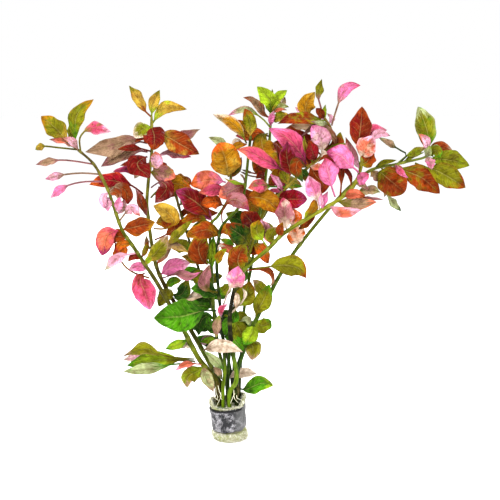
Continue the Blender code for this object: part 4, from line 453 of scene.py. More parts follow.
        ([(66.5, 222.6), (53, 226), (45.5, 231)], 4.4, 25, -7, 0.50, "blush blush blush"),
        ([(69, 219.2), (55, 217.5), (38.5, 216)], 7, 48, 15, 0.15, "lime taupe rust"),
        ([(68.5, 220), (62, 219.7), (56.5, 221)], 4, 30, 18, 0.10, "sage sage mauve"),
        ([(64, 197.2), (54, 207), (46.5, 212), (42, 218)], 9.5, 12, -1, 0.15, "rust wine rust"),
        ([(0.8, 72), (6.5, 75.5), (13, 71)], 8.5, 10, 9, 0.10, "green lime green"),
        ([(2.6, 86), (8, 84.5), (11, 77)], 8, 10, 4, 0.10, "olive olive green"),
        ([(13.5, 128), (19, 131), (24, 136)], 7, 15, -3, 0.10, "rust rust olive"),
        ([(46, 181), (51.5, 184.5), (54, 178)], 6, 15, 4, 0.10, "rust dark olive"),
    ],
    "top_stem": [
        ([(28.5, 226), (27.3, 236), (19, 245.4)], 10, 20, 6, 0.05, "green lime lime"),
        ([(28.3, 225.2), (29.6, 235), (29.6, 243.8)], 4, 40, 2, 0.06, "dark green olive"),
        ([(28.6, 227.5), (32, 236.5), (40, 242.9)], 7.5, 18, 1, 0.06, "gold lime lime"),
        ([(28.6, 227), (34, 231.5), (38.6, 238)], 8, 18, -3, 0.08, "gold cream taupe"),
        ([(28.6, 226.5), (36, 231.5), (41.4, 231)], 4, 35, 5, 0.20, "olive sage olive"),
        ([(28.6, 225.5), (34, 229.3), (40, 229)], 2.6, 30, 8, 0.20, "salmon salmon taupe"),
        ([(28.3, 217.5), (28.8, 223), (31, 228.5)], 4.8, 20, 7, 0.10, "pink pink blush"),
        ([(28.5, 221), (34.5, 224.3), (41, 226)], 6.5, 25, 13, 0.12, "gold olive gold"),
        ([(28.3, 216.5), (23, 222.5), (14, 228.3), (6, 228.2), (-1.4, 225.2)],
         5, 25, -5, 0.30, "lime sage pink"),
        ([(28.5, 223), (23, 226.5), (20, 231.5), (15, 236.3), (9.2, 237.8)],
         5.8, 25, -2, 0.10, "rust taupe rust"),
        ([(27.9, 210.5), (20, 212.3), (12, 211.5), (3.8, 210.8)], 9.5, 8, 22, 0.14, "rust orange rose"),
        ([(28.1, 213.5), (22.5, 209.5), (24, 200), (34.3, 190)], 15.5, 6, 23, 0.05, "olive amber rust"),
        ([(27.6, 207), (31.8, 204), (33, 197), (31, 190)], 5.4, 30, 14, 0.10, "rust wine rust"),
        ([(26, 187), (21, 187.8), (15.5, 194.5)], 9.5, 12, 7, 0.06, "rust rust olive"),
        ([(25, 180), (21.5, 183.2), (18, 181)], 5.5, 20, 9, 0.08, "wine wine rust"),
        ([(25.5, 184), (16.5, 184.7), (8, 187.3)], 1.8, 30, 5, 0.50, "salmon taupe taupe"),
        ([(25.2, 182), (15, 182.7), (7, 186)], 1.4, 30, 2, 0.60, "taupe taupe taupe"),
        ([(24, 172), (34, 182), (44, 186)], 11, 15, -12, 0.20, "rust amber rust"),
        ([(26.5, 195), (38, 203), (48, 204)], 12, 15, -10, 0.15, "wine rust plum"),
        ([(27, 200), (21, 203), (14, 200)], 11, 10, -12, 0.15, "olive orange rust"),
        ([(22, 165), (12, 168), (2, 166)], 12, 10, -12, 0.18, "olive rust wine"),
        ([(18, 140), (26, 146), (32, 141)], 9, 15, -8, 0.15, "olive olive taupe"),
        ([(14.5, 117), (10, 124), (6, 130)], 11, 10, -12, 0.15, "green olive rust"),
        ([(11, 96), (13, 102), (15, 106)], 9.5, 10, -10, 0.12, "green dark olive"),
        ([(8.7, 72), (14, 77), (21, 77)], 8.5, 10, 2, 0.12, "green lime green"),
        ([(8.3, 63), (3, 68), (-4, 70.5)], 7.5, 10, 3, 0.12, "green dark green"),
    ],
    "back_left_stem": [
        ([(-40, 177), (-46, 184), (-52, 193)], 13.2, 10, -8, 0.12, "olive rust wine"),
        ([(-39.5, 176), (-34, 178), (-28, 181)], 12, 10, -12, 0.12, "lime amber rust"),
        ([(-37, 168), (-44, 172), (-53, 170)], 12, 12, -12, 0.15, "rust wine crimson"),
        ([(-36, 162), (-28, 167), (-18, 168)], 13.2, 10, -14, 0.15, "olive amber orange"),
        ([(-33, 150), (-42, 152), (-52, 150)], 12, 10, -13, 0.15, "olive rust amber"),
        ([(-31, 144), (-21, 145.5), (-5, 142.5)], 12, 10, -15, 0.15, "green olive rust"),
        ([(-26, 130), (-34, 134), (-42, 133)], 10.8, 12, -12, 0.15, "green olive amber"),
        ([(-24, 124), (-16, 130), (-10, 137)], 10.8, 10, -14, 0.15, "green olive rust"),
        ([(-19, 110), (-27, 114), (-36, 114)], 10.8, 10, -12, 0.15, "green green olive"),
        ([(-15, 100), (-8, 100), (-2, 98)], 8.4, 10, -12, 0.15, "green green dark"),
        ([(-12, 90), (-21, 92), (-32, 89)], 14.4, 10, -14, 0.15, "green green green"),
        ([(-6, 72), (-12, 77), (-18, 80)], 9.6, 10, -12, 0.15, "green green olive"),
        ([(-4.3, 66), (-14, 66.5), (-24, 70)], 9.5, 10, -10, 0.15, "dark dark green"),
        ([(-8.3, 80), (-18, 78.5), (-28, 76.5)], 10, 10, -8, 0.15, "green dark dark"),
        ([(-9, 82), (-2, 85), (5, 83)], 8.5, 10, -8, 0.15, "dark dark olive"),
        ([(-34.3, 152), (-33.5, 155.5), (-31, 158), (-27.5, 156)], 5, 15, -4, 0.10, "rust rust wine"),
        ([(-17, 105), (-12, 111), (-5, 113)], 8, 10, -10, 0.15, "green olive olive"),
        ([(-34, 153), (-22, 156), (-8, 157)], 9, 10, -12, 0.15, "rust rust rust"),
    ],
    "back_right_stem": [
        ([(48, 201), (45, 207), (38, 212)], 12, 10, -10, 0.10, "wine rust amber"),
        ([(47, 199), (53, 206), (61, 210)], 13.2, 10, -12, 0.12, "rust amber rust"),
        ([(43, 189), (51, 194), (60, 193)], 12, 12, -14, 0.15, "olive rust wine"),
        ([(41, 186), (33, 191), (24, 191)], 13.2, 10, -15, 0.15, "olive amber orange"),
        ([(36, 176), (44, 178), (50, 176)], 9.6, 15, -14, 0.15, "green olive rust"),
        ([(29, 163), (35, 168), (34, 176)], 9.6, 15, -12, 0.15, "olive rust crimson"),
        ([(24, 155), (18, 161), (10, 163)], 12, 10, -15, 0.15, "green amber rust"),
        ([(16, 142), (8, 151), (-3, 157)], 12, 10, -15, 0.15, "green dark olive"),
        ([(11, 127), (15, 134), (20, 138)], 9.6, 10, -12, 0.15, "green olive olive"),
        ([(6, 108), (9, 112), (11, 118)], 8.4, 10, -12, 0.12, "green green olive"),
        ([(3.5, 88), (8, 79), (13, 74)], 9.6, 10, -12, 0.15, "green green dark"),
        ([(3.8, 70), (-2, 75), (-8, 77)], 9.6, 10, -12, 0.15, "green green olive"),
    ],
}

SLOT_OF = {
    "green": "leaf_green", "dark": "leaf_green", "lime": "leaf_green", "sage": "leaf_green",
    "olive": "leaf_olive", "gold": "leaf_amber", "amber": "leaf_amber", "orange": "leaf_amber",
    "rust": "leaf_red", "wine": "leaf_red", "crimson": "leaf_red", "plum": "leaf_red",
    "salmon": "leaf_pink", "rose": "leaf_pink", "pink": "leaf_pink", "blush": "leaf_pink",
    "mauve": "leaf_pink", "taupe": "leaf_pale", "cream": "leaf_pale",
}

# Each stem's colours, each from the height at which the front view shows it, in mm
STEM_COLOURS = {
    "left_stem": [(30, (0.17, 0.16, 0.03)), (50, (0.35, 0.36, 0.05)), (75, (0.33, 0.41, 0.04)),
                  (105, (0.23, 0.20, 0.03)), (130, (0.29, 0.31, 0.04)), (170, (0.37, 0.37, 0.09)),
                  (198, (0.27, 0.22, 0.06)), (206, (0.32, 0.31, 0.08))],
    "second_stem": [(30, (0.14, 0.14, 0.02)), (60, (0.27, 0.33, 0.05)), (100, (0.23, 0.16, 0.03)),
                    (122, (0.27, 0.26, 0.05)), (160, (0.41, 0.41, 0.12)), (205, (0.39, 0.37, 0.10)),
                    (225, (0.44, 0.42, 0.12))],
    "dark_stem": [(22, (0.34, 0.44, 0.03)), (45, (0.35, 0.44, 0.04)), (58, (0.19, 0.27, 0.03)),
                  (75, (0.08, 0.13, 0.02)), (140, (0.08, 0.17, 0.03)), (158, (0.32, 0.41, 0.06)),
                  (210, (0.23, 0.25, 0.05))],
    "middle_stem": [(30, (0.23, 0.30, 0.05)), (80, (0.24, 0.32, 0.05)), (140, (0.22, 0.28, 0.04)),
                    (152, (0.38, 0.44, 0.08)), (170, (0.38, 0.38, 0.14)), (200, (0.37, 0.30, 0.10))],
    # Painted shade: the right stem is near-black from 64 to 102, where it runs behind the leaves
    "right_stem": [(22, (0.31, 0.40, 0.04)), (40, (0.33, 0.43, 0.05)), (54, (0.28, 0.38, 0.05)),
                   (64, (0.08, 0.08, 0.02)), (102, (0.09, 0.08, 0.03)), (108, (0.31, 0.36, 0.04)),
                   (140, (0.36, 0.39, 0.05)), (165, (0.43, 0.43, 0.06)), (200, (0.35, 0.32, 0.08))],
    "far_right_stem": [(28, (0.10, 0.14, 0.02)), (55, (0.17, 0.28, 0.04)), (80, (0.22, 0.30, 0.03)),
                       (115, (0.20, 0.27, 0.04)), (150, (0.35, 0.39, 0.05)), (185, (0.37, 0.39, 0.12)),
                       (200, (0.39, 0.45, 0.14))],
    "crossing_stem": [(30, (0.13, 0.21, 0.03)), (60, (0.18, 0.29, 0.04)), (75, (0.13, 0.14, 0.02)),
                      (110, (0.31, 0.30, 0.05)), (160, (0.50, 0.50, 0.10)), (200, (0.42, 0.32, 0.10)),
                      (225, (0.34, 0.23, 0.08))],
    "top_stem": [(30, (0.13, 0.19, 0.03)), (90, (0.20, 0.29, 0.04)), (160, (0.30, 0.36, 0.05)),
                 (215, (0.40, 0.45, 0.10))],
    "back_left_stem": [(30, (0.11, 0.16, 0.02)), (120, (0.20, 0.24, 0.03)), (180, (0.31, 0.23, 0.05))],
    "back_right_stem": [(30, (0.11, 0.16, 0.02)), (120, (0.20, 0.24, 0.03)), (200, (0.31, 0.21, 0.05))],
}

# Thin roots: for each colour's setting, where the front view shows each root and how far back, in mm
ROOTS = {
    "root_white": [
        [(-12.3, 34.0, -5.0), (-11.8, 29.5, -7.5), (-10.2, 27.0, -8.5), (-8.0, 25.5, -7.5)],
        [(-10.2, 35.0, -5.5), (-9.6, 30.5, -7.0), (-8.6, 28.0, -8.0), (-9.4, 26.0, -8.5)],
        [(-8.4, 36.0, -6.0), (-7.4, 31.5, -7.0), (-6.2, 28.5, -8.0), (-9.6, 21.4, -10.5)],
        [(-6.4, 31.0, -7.0), (-6.9, 28.5, -8.5), (-5.6, 26.0, -8.5)],
        [(2.6, 33.0, -7.0), (2.9, 27.8, -8.5), (4.0, 25.6, -9.0), (5.8, 24.0, -9.0)],
        [(3.4, 30.5, -7.5), (1.9, 27.5, -9.0), (0.3, 23.4, -10.0)],
        [(4.6, 29.0, -8.0), (5.2, 27.0, -9.5), (8.4, 25.6, -9.0)],
        [(-13.0, 30.5, -3.0), (-13.6, 27.0, -5.5), (-12.2, 23.0, -9.0)],
        [(4.0, 31.0, 6.0), (6.5, 32.5, 9.5), (7.5, 29.5, 12.2)],
    ],
    "root_brown": [
        [(-12.6, 37.0, -3.5), (-12.0, 32.5, -6.5), (-11.4, 27.0, -7.5), (-9.8, 24.6, -7.0)],
        [(-11.6, 38.0, -4.0), (-10.6, 33.0, -6.0), (-10.2, 29.0, -7.0), (-8.6, 25.0, -6.5)],
        [(-9.4, 39.0, -5.0), (-8.9, 33.0, -6.5), (-7.6, 29.0, -7.0), (-7.4, 25.0, -6.5)],
        [(-7.6, 38.0, -5.5), (-7.9, 33.5, -6.5), (-6.8, 30.5, -7.0)],
        [(5.8, 37.0, -6.0), (6.4, 32.0, -6.5), (5.2, 28.5, -7.5), (4.4, 25.6, -8.0)],
        [(3.6, 38.0, -7.5), (5.0, 34.0, -7.5), (5.6, 30.0, -7.5), (4.8, 26.5, -8.0)],
        [(-6.0, 30.0, 8.0), (-7.5, 31.0, 11.0), (-8.5, 27.0, 12.3)],
    ],
}


def seen(across, up, back):
    """The point that the front view shows at across and up, as far back as asked for."""
    spot = Vector((across, up * math.sin(LOOK_DOWN), up * math.cos(LOOK_DOWN)))
    ray = spot - EYE
    return EYE + ray * ((back - EYE.y) / ray.y)


def shown_height(point):
    """The height at which the front view shows a point."""
    ray = point - EYE
    level = math.cos(LOOK_DOWN), math.sin(LOOK_DOWN)
    share = (EYE.z * level[1] - EYE.y * level[0]) / (ray.y * level[0] - ray.z * level[1])
    spot = EYE + ray * share
    return spot.y * level[1] + spot.z * level[0]


def lap_lift(place):
    """How much higher the strip's rim stands on the side where its inner turn shows."""
    return LAP_LIFT * max(0.0, math.cos(math.atan2(place.y, place.x) - LAP_TOWARDS)) ** 4


def wrapped(place):
    """Where a point of the upright plug is once it is wrapped: low in front at its rim, and leaned."""
    x, y, z = place
    if z > RIM_FROM:
        across = math.hypot(x, y)
        ahead = y / max(across, 1.0)
        share = max(0.0, min(1.0, (ahead + 0.8) / 0.65))
        high = RIM_FRONT + (1.0 - RIM_FRONT) * share * share * (3.0 - 2.0 * share)
        high *= 1.0 - (1.0 - RIM_BACK) * max(0.0, ahead) ** 2
        z = RIM_FROM + (z - RIM_FROM) * high + lap_lift(place) * max(0.0, min(1.0, (across - 7.0) / 4.0))
    z += LEAN * x * max(0.0, min(1.0, (z - LEAN_START) / (LEAN_FROM - LEAN_START)))
    return Vector((x - LEAN * max(0.0, z - LEAN_FROM), y, z))


def nearest_on(points, spot):
    """The nearest place on a line of points: its distance, its span and its share of the span."""
    best = None
    for index in range(len(points) - 1):
        start = points[index]
        step = points[index + 1] - start
        share = max(0.0, min(1.0, (spot - start).dot(step) / step.length_squared))
        away = (start + step * share - spot).length
        if best is None or away < best[0]:
            best = (away, index, share)
    return best


def distances(points):
    """How far along a line each of its points is."""
    run = [0.0]
    for here, there in zip(points, points[1:]):
        run.append(run[-1] + (there - here).length)
    return run


def smooth_line(points, steps=8):
    """A dense smooth line through the points."""
    ends = [points[0] * 2 - points[1]] + list(points) + [points[-1] * 2 - points[-2]]
    line = []
    for index in range(1, len(ends) - 2):
        before, here, there, after = ends[index - 1:index + 3]
        for step in range(steps):
            t = step / steps
            line.append(0.5 * (2 * here + (there - before) * t
                               + (2 * before - 5 * here + 4 * there - after) * t * t
                               + (3 * here - before - 3 * there + after) * t ** 3))
    line.append(points[-1].copy())
    return line


def along(line, shares):
    """The places at these shares of a line's length, each with the line's direction there."""
    lengths = distances(line)
    places = []
    for share in shares:
        goal = share * lengths[-1]
        index = 1
        while index < len(line) - 1 and lengths[index] < goal:
            index += 1
        part = (goal - lengths[index - 1]) / (lengths[index] - lengths[index - 1])
        before = line[max(0, index - 3)]
        after = line[min(len(line) - 1, index + 2)]
        places.append((line[index - 1].lerp(line[index], part), (after - before).normalized()))
    return places


def ring_faces(rows, ring, first=0):
    """The faces between rings of corners that follow each other, from the first corner."""
    faces = []
    for low in range(first, first + (rows - 1) * ring, ring):
        for here in range(ring):
            there = (here + 1) % ring
            faces.append((low + here, low + there, low + ring + there, low + ring + here))
    return faces


def stem_axis(name):
    """A stem's points from its foot in the wool to its top."""
    foot, _, _, points = STEMS[name]
    return [Vector((foot[0], foot[1], FOOT_Z))] + [seen(*point) for point in points]


def stem_radius(name, share):
    """A stem's radius at a share of its length."""
    _, thick, thin, _ = STEMS[name]
    return 0.5 * (thick + (thin - thick) * share)


def leaf_line(name, row, near):
    """The smooth line of a leaf's rib, which starts on its stem's axis."""
    flat = [Vector(point) for point in row[0]]
    axis = stem_axis(name)
    shown = [Vector((point[0], point[1])) for point in STEMS[name][3]]
    _, index, share = nearest_on(shown, flat[0])
    base = axis[index + 1].lerp(axis[index + 2], share)
    lengths = distances(flat)
    points = [base]
    for spot, length in zip(flat[1:], lengths[1:]):
        share = length / lengths[-1]
        points.append(seen(spot.x, spot.y, base.y - near * share * (1.4 - 0.4 * share)))
    return smooth_line(points)


def off_stem(name, line):
    """The part of a leaf's line that is clear of its own stem."""
    axis = stem_axis(name)
    _, index, share = nearest_on(axis, line[0])
    radius = stem_radius(name, (index + share) / (len(axis) - 1))
    start = 0
    while start < len(line) - 6 and nearest_on(axis, line[start])[0] < radius + CLEAR_OF_STEM:
        start += 1
    return line[start:]


def leaf_stance(row, line, squeeze):
    """A leaf's true width, its turn about its rib, how it is looked at and the way its side mostly faces."""
    turn = math.radians(row[2])
    width = row[1] * squeeze / max(NARROWEST, math.cos(turn))
    view = (line[len(line) // 2] - EYE).normalized()
    mean_side = (line[-1] - line[0]).normalized().cross(view).normalized()
    if mean_side.z > 0.0:
        turn = -turn
    return width, turn, view, mean_side


def leaf_ways(onward, turn, view, mean_side):
    """The ways that a leaf's side and its upper face look where its rib runs onward."""
    side = (onward.cross(view).normalized() + mean_side).normalized()
    side = (side - onward * side.dot(onward)).normalized()
    side = side * math.cos(turn) + onward.cross(side) * math.sin(turn)
    lift = side.cross(onward).normalized()
    if lift.dot(view) > 0.0:
        lift = -lift
    return side, lift


def leaf_rows(row, line, squeeze):
    """The rows of points across a leaf, from its stalk to its tip, and each row's lift."""
    width, turn, view, mean_side = leaf_stance(row, line, squeeze)
    stalk = row[4]
    small = row[1] < SMALL_WIDTH
    shares = [(0.0, STALK_WIDTH)]
    if stalk >= STALK_FROM:
        shares.append((stalk, STALK_WIDTH))
    if small:
        blade = SHORT_BLADE if distances(line)[-1] < SHORT_LENGTH else SMALL_BLADE
    else:
        blade = LARGE_BLADE
    for share, wide in blade:
        shares.append((stalk + (1.0 - stalk) * share, max(0.5, width * wide)))
    rows = []
    for (place, onward), (_, wide) in zip(along(line, [share for share, _ in shares]), shares):
        side, lift = leaf_ways(onward, turn, view, mean_side)
        edge = lift * (FOLD * wide * 0.5)
        half = side * (wide * 0.5)
        if small:
            rows.append(([place - half, place + half], lift))
        else:
            rows.append(([place - half + edge, place, place + half + edge], lift))
    return rows


def rows_cross(rows):
    """Whether two rows of a leaf cross, so that its sheet would fold over itself."""
    for (low, _), (high, _) in zip(rows, rows[1:]):
        if len(low) == 3:
            onward = high[1] - low[1]
        else:
            onward = high[0] + high[1] - low[0] - low[1]
        if any((there - here).dot(onward) <= 0.0 for here, there in zip(low, high)):
            return True
    return False


def solid_of(corners, faces):
    """What a shape takes up: its lowest and highest corner, and the tree that finds what meets it."""
    low = Vector([min(corner[axis] for corner in corners) for axis in range(3)])
    high = Vector([max(corner[axis] for corner in corners) for axis in range(3)])
    return low, high, BVHTree.FromPolygons(corners, faces)


def leaf_solid(rows):
    """What a leaf takes up, with the gap that is kept round it."""
    thick = LEAF_THICKNESS + 2.0 * CLEAR_OF_LEAVES
    corners = []
    for points, lift in rows:
        corners += [point + lift * thick * 0.5 for point in points]
        corners += [point - lift * thick * 0.5 for point in reversed(points)]
    return solid_of(corners, ring_faces(len(rows), 2 * len(rows[0][0])))


def stem_solid(name, sides=8):
    """What a stem takes up: a round tube along its axis."""
    axis = stem_axis(name)
    corners = []
    for index, point in enumerate(axis):
        onward = (axis[min(index + 1, len(axis) - 1)] - axis[max(index - 1, 0)]).normalized()
        first = onward.cross(Vector((0.0, 1.0, 0.0))).normalized()
        second = onward.cross(first)
        radius = stem_radius(name, index / (len(axis) - 1))
        for step in range(sides):
            turn = math.tau * step / sides
            corners.append(point + (first * math.cos(turn) + second * math.sin(turn)) * radius)
    return solid_of(corners, ring_faces(len(axis), sides))


def plug_solid(sides=24):
    """What the wrapped plug takes up: a wall round it and a lid on it."""
    corners = [Vector((PLUG_RADIUS * math.cos(turn), PLUG_RADIUS * math.sin(turn), height))
               for height in (0.0, PLUG_TOP) for turn in (math.tau * step / sides for step in range(sides))]
    return solid_of(corners, ring_faces(2, sides) + [tuple(range(sides, 2 * sides))])


def meet(one, other):
    """Whether two solids meet."""
    apart = any(one[0][axis] > other[1][axis] or other[0][axis] > one[1][axis] for axis in range(3))
    return not apart and bool(one[2].overlap(other[2]))


def leaf_meets(name, own, solid, free_solid, taken):
    """Whether a leaf meets what is taken. Leaves joined to one stem may meet where they leave it."""
    for other, other_own, other_solid, other_free in taken:
        if other == name and not own and not other_own:
            if other_free and meet(free_solid, other_free):
                return True
        elif meet(solid, other_solid):
            return True
    return False


def place_leaf(name, row, own, taken):
    """The line and squeeze with which a leaf is first clear; what it takes up joins what is taken."""
    for squeeze in SQUEEZES:
        for step in STEPS:
            line = leaf_line(name, row, row[3] + STEP_LENGTH * step)
            if own:
                line = off_stem(name, line)
            rows = leaf_rows(row, line, squeeze)
            if rows_cross(rows):
                continue
            solid = leaf_solid(rows)
            free_solid = leaf_solid(leaf_rows(row, off_stem(name, line), squeeze))
            if not leaf_meets(name, own, solid, free_solid, taken):
                taken.append((name, own, solid, free_solid))
                return line, squeeze
    return None


def leaf_size(name, row):
    """How much a leaf shows; the leaves of the back stems count for less."""
    length = distances([Vector(point) for point in row[0]])[-1]
    return row[1] * length * (BACK_SHARE if name.startswith("back") else 1.0)


def place_leaves():
    """Every leaf, the largest first, brought forward or back until it is clear of stems and other leaves."""
    ranked = [(-leaf_size(name, row), name, number)
              for name, leaves in LEAVES.items() for number, row in enumerate(leaves, 1)]
    taken = [(name, False, stem_solid(name), None) for name in STEMS]
    taken.append(("plug", True, plug_solid(), None))
    for rank, (_, name, number) in enumerate(sorted(ranked)):
        row = LEAVES[name][number - 1]
        own = rank < OWN_LEAVES
        found = place_leaf(name, row, own, taken)
        if found:
            PLACED[(name, number)] = (row, own, *found)


def colour_setting(label, about, *colour):
    """A colour that a user can change, given as it looks on a screen."""
    return bpy.props.FloatVectorProperty(name=label, description=about, subtype="COLOR_GAMMA", size=3,
                                         min=0.0, max=1.0, default=colour)


def length_setting(label, about, length):
    """A length that a user can change, in metres."""
    return bpy.props.FloatProperty(name=label, description=about, default=length, unit="LENGTH",
                                   subtype="DISTANCE")


def count_setting(label, about, count, least, most):
    """A whole number that a user can change."""
    return bpy.props.IntProperty(name=label, description=about, default=count, min=least, max=most)


class LeafSettings(bpy.types.PropertyGroup):
    """Leaf detail and the colours that leaves are made of."""
    rows: count_setting("Rows", "Rows along a large leaf", 26, 8, 60)
    columns: count_setting("Columns", "Columns across a large leaf", 14, 4, 30)
    thickness: length_setting("Thickness", "Thickness of a blade beside its rib", 0.00034)
    waves: bpy.props.FloatProperty(name="Waves", description="How far the margins wave, as a share of width",
                                   default=0.17, min=0.0, max=0.5, subtype="FACTOR")
    green: colour_setting("Green", "Full green leaves", 0.26, 0.50, 0.03)
    dark: colour_setting("Dark green", "Shaded green leaves", 0.12, 0.27, 0.03)
    lime: colour_setting("Lime", "Young yellow-green leaves", 0.55, 0.66, 0.10)
    sage: colour_setting("Sage", "Pale undersides of green leaves", 0.62, 0.66, 0.46)
    olive: colour_setting("Olive", "Leaves turning from green to brown", 0.45, 0.45, 0.03)
    gold: colour_setting("Gold", "Yellow leaves", 0.70, 0.57, 0.20)
    amber: colour_setting("Amber", "Leaves turning to orange", 0.63, 0.43, 0.02)
    orange: colour_setting("Orange", "Orange leaves", 0.78, 0.34, 0.07)
    rust: colour_setting("Rust", "Red-brown leaves", 0.52, 0.19, 0.01)
    wine: colour_setting("Wine", "Dark red leaves", 0.42, 0.03, 0.03)
    crimson: colour_setting("Crimson", "Bright red leaves", 0.58, 0.04, 0.12)
    plum: colour_setting("Plum", "Purple-red leaves", 0.55, 0.14, 0.32)
    salmon: colour_setting("Salmon", "Orange-pink leaves", 0.80, 0.40, 0.30)
    rose: colour_setting("Rose", "Strong pink undersides", 0.77, 0.27, 0.41)
    pink: colour_setting("Pink", "Pink undersides", 0.86, 0.44, 0.64)
    blush: colour_setting("Blush", "Pale pink undersides", 0.90, 0.66, 0.77)
    mauve: colour_setting("Mauve", "Greyed pink undersides", 0.58, 0.36, 0.38)
    taupe: colour_setting("Taupe", "Greyed brown undersides", 0.60, 0.48, 0.38)
    cream: colour_setting("Cream", "Pale stalks and margins", 0.86, 0.78, 0.70)


class StemSettings(bpy.types.PropertyGroup):
    """Stem and root detail."""
    sides: count_setting("Sides", "Sides round a stem", 14, 6, 32)
    node_swell: length_setting("Node swell", "How far a stem swells at its nodes", 0.00032)
    root_radius: length_setting("Root radius", "Radius of the thin white roots", 0.00022)
    root_white: colour_setting("White roots", "The thin young roots", 0.90, 0.89, 0.78)
    root_brown: colour_setting("Brown roots", "The thin old roots", 0.34, 0.24, 0.06)


class HolderSettings(bpy.types.PropertyGroup):
    """The wool plug and the lead strip round it."""
    fibres: count_setting("Fibres", "Loose wool fibres on the plug", 2000, 0, 8000)
    fibre_length: length_setting("Fibre length", "Length of a loose wool fibre", 0.0026)
    wool: colour_setting("Wool", "The outside of the wool", 0.59, 0.58, 0.46)
    wool_shade: colour_setting("Wool shade", "Damp wool", 0.56, 0.58, 0.36)
    # Painted shade: the colour that darkens the wool in the hollow top
    wool_hollow_shade: colour_setting("Wool inside", "Wet wool in the hollow top", 0.36, 0.40, 0.30)
    lead: colour_setting("Lead", "Bare lead", 0.77, 0.76, 0.78)
    lead_dark: colour_setting("Dull lead", "Dulled patches on the lead", 0.14, 0.14, 0.15)


class StageSettings(bpy.types.PropertyGroup):
    """The floor and the light."""
    floor: colour_setting("Floor", "The plain floor", 1.0, 1.0, 1.0)
    key_power: bpy.props.FloatProperty(name="Key light", description="Power of the main light", default=21.0,
                                       unit="POWER")


SETTINGS = {"leaf": LeafSettings, "stem": StemSettings, "holder": HolderSettings, "stage": StageSettings}


def settings(group):
    """One group of the scene's settings."""
    return getattr(bpy.context.scene, f"ludwigia_{group}")


def linear(colour):
    """A screen colour as the shader takes it."""
    return tuple(c / 12.92 if c <= 0.04045 else ((c + 0.055) / 1.055) ** 2.4 for c in colour)


def setting_colour(group, name):
    """A setting's colour, made linear for the shader."""
    return linear(getattr(settings(group), name))


def once(maker):
    """What a maker makes, made only the first time that it is asked for."""
    if maker.__name__ not in MADE:
        MADE[maker.__name__] = maker()
    return MADE[maker.__name__]


class Wire:
    """A node's output that can be used in sums."""

    def __init__(self, tree, socket):
        self.tree = tree
        self.socket = socket

    def sum(self, operation, *others):
        """A Math node of this wire and the others."""
        return self.tree.node("ShaderNodeMath", {"operation": operation}, dict(enumerate((self, *others))))

    def __add__(self, other):
        return self.sum("ADD", other)

    def __radd__(self, other):
        return self.sum("ADD", other)

    def __sub__(self, other):
        return self.sum("SUBTRACT", other)

    def __rsub__(self, other):
        return self.tree.node("ShaderNodeMath", {"operation": "SUBTRACT"}, {0: other, 1: self})

    def __mul__(self, other):
        return self.sum("MULTIPLY", other)

    def __rmul__(self, other):
        return self.sum("MULTIPLY", other)

    def __pow__(self, other):
        return self.sum("POWER", other)

    def absolute(self):
        """This wire without its sign."""
        return self.sum("ABSOLUTE")

    def step(self, low, high):
        """From 0 at low to 1 at high, smoothly."""
        return self.tree.node("ShaderNodeMapRange", {"interpolation_type": "SMOOTHSTEP"},
                              {"Value": self, "From Min": low, "From Max": high})


class Tree:
    """A node tree under way."""

    def __init__(self, tree):
        self.tree = tree

    def node(self, kind, given=None, values=None, output=0):
        """One node: its settings, then its sockets' values or links; returns one output."""
        made = self.tree.nodes.new(kind)
        for name, value in (given or {}).items():
            setattr(made, name, value)
        for socket, value in (values or {}).items():
            if isinstance(value, Wire):
                self.tree.links.new(value.socket, made.inputs[socket])
            else:
                made.inputs[socket].default_value = value
        return Wire(self, made.outputs[output])


class Finish(Tree):
    """A material under way, on its one shader."""

    def __init__(self, name, **shader):
        self.material = bpy.data.materials.new(name)
        self.material.use_nodes = True
        super().__init__(self.material.node_tree)
        self.shader = self.tree.nodes["Principled BSDF"]
        for socket, value in shader.items():
            self.shader.inputs[socket.replace("_", " ")].default_value = value

    def place(self):
        """Where a point is on its object."""
        return self.node("ShaderNodeTexCoord", output="Object")

    def grain(self, place, scale, detail, roughness):
        """Soft noise at a place, from about 0 to 1."""
        return self.node("ShaderNodeTexNoise", None, {"Vector": place, "Scale": scale, "Detail": detail,
                                                       "Roughness": roughness})

    def speckle(self, scale, detail=3.0, stretch=None, roughness=0.55):
        """Soft noise on the object."""
        place = self.place()
        if stretch:
            place = self.node("ShaderNodeMapping", None, {"Vector": place, "Scale": stretch})
        return self.grain(place, scale, detail, roughness)

    def weave(self, across, along_blade, layer, scale, detail):
        """Soft noise on a blade's own places, drawn out along its veins."""
        spot = self.node("ShaderNodeCombineXYZ", None, {"X": across, "Y": along_blade, "Z": layer})
        return self.grain(spot, scale, detail, 0.6)

    def tint(self, name):
        """A colour kept on the mesh."""
        return self.node("ShaderNodeAttribute", {"attribute_name": name}, output="Color")

    def number(self, name):
        """A number kept on the mesh."""
        return self.node("ShaderNodeAttribute", {"attribute_name": name}, output="Fac")

    def blend(self, factor, one, other, how="MIX"):
        """One colour turning to another."""
        values = {0: factor}
        for index, colour in ((6, one), (7, other)):
            values[index] = colour if isinstance(colour, Wire) else (*colour, 1.0)
        return self.node("ShaderNodeMix", {"data_type": "RGBA", "blend_type": how}, values, output=2)

    def bump(self, height, strength, distance):
        """A bump from a height."""
        return self.node("ShaderNodeBump", None, {"Height": height, "Strength": strength,
                                                   "Distance": distance})

    def shade(self, **wires):
        """Feed the shader's sockets, and return the material."""
        for socket, wire in wires.items():
            self.tree.links.new(wire.socket, self.shader.inputs[socket.replace("_", " ")])
        return self.material


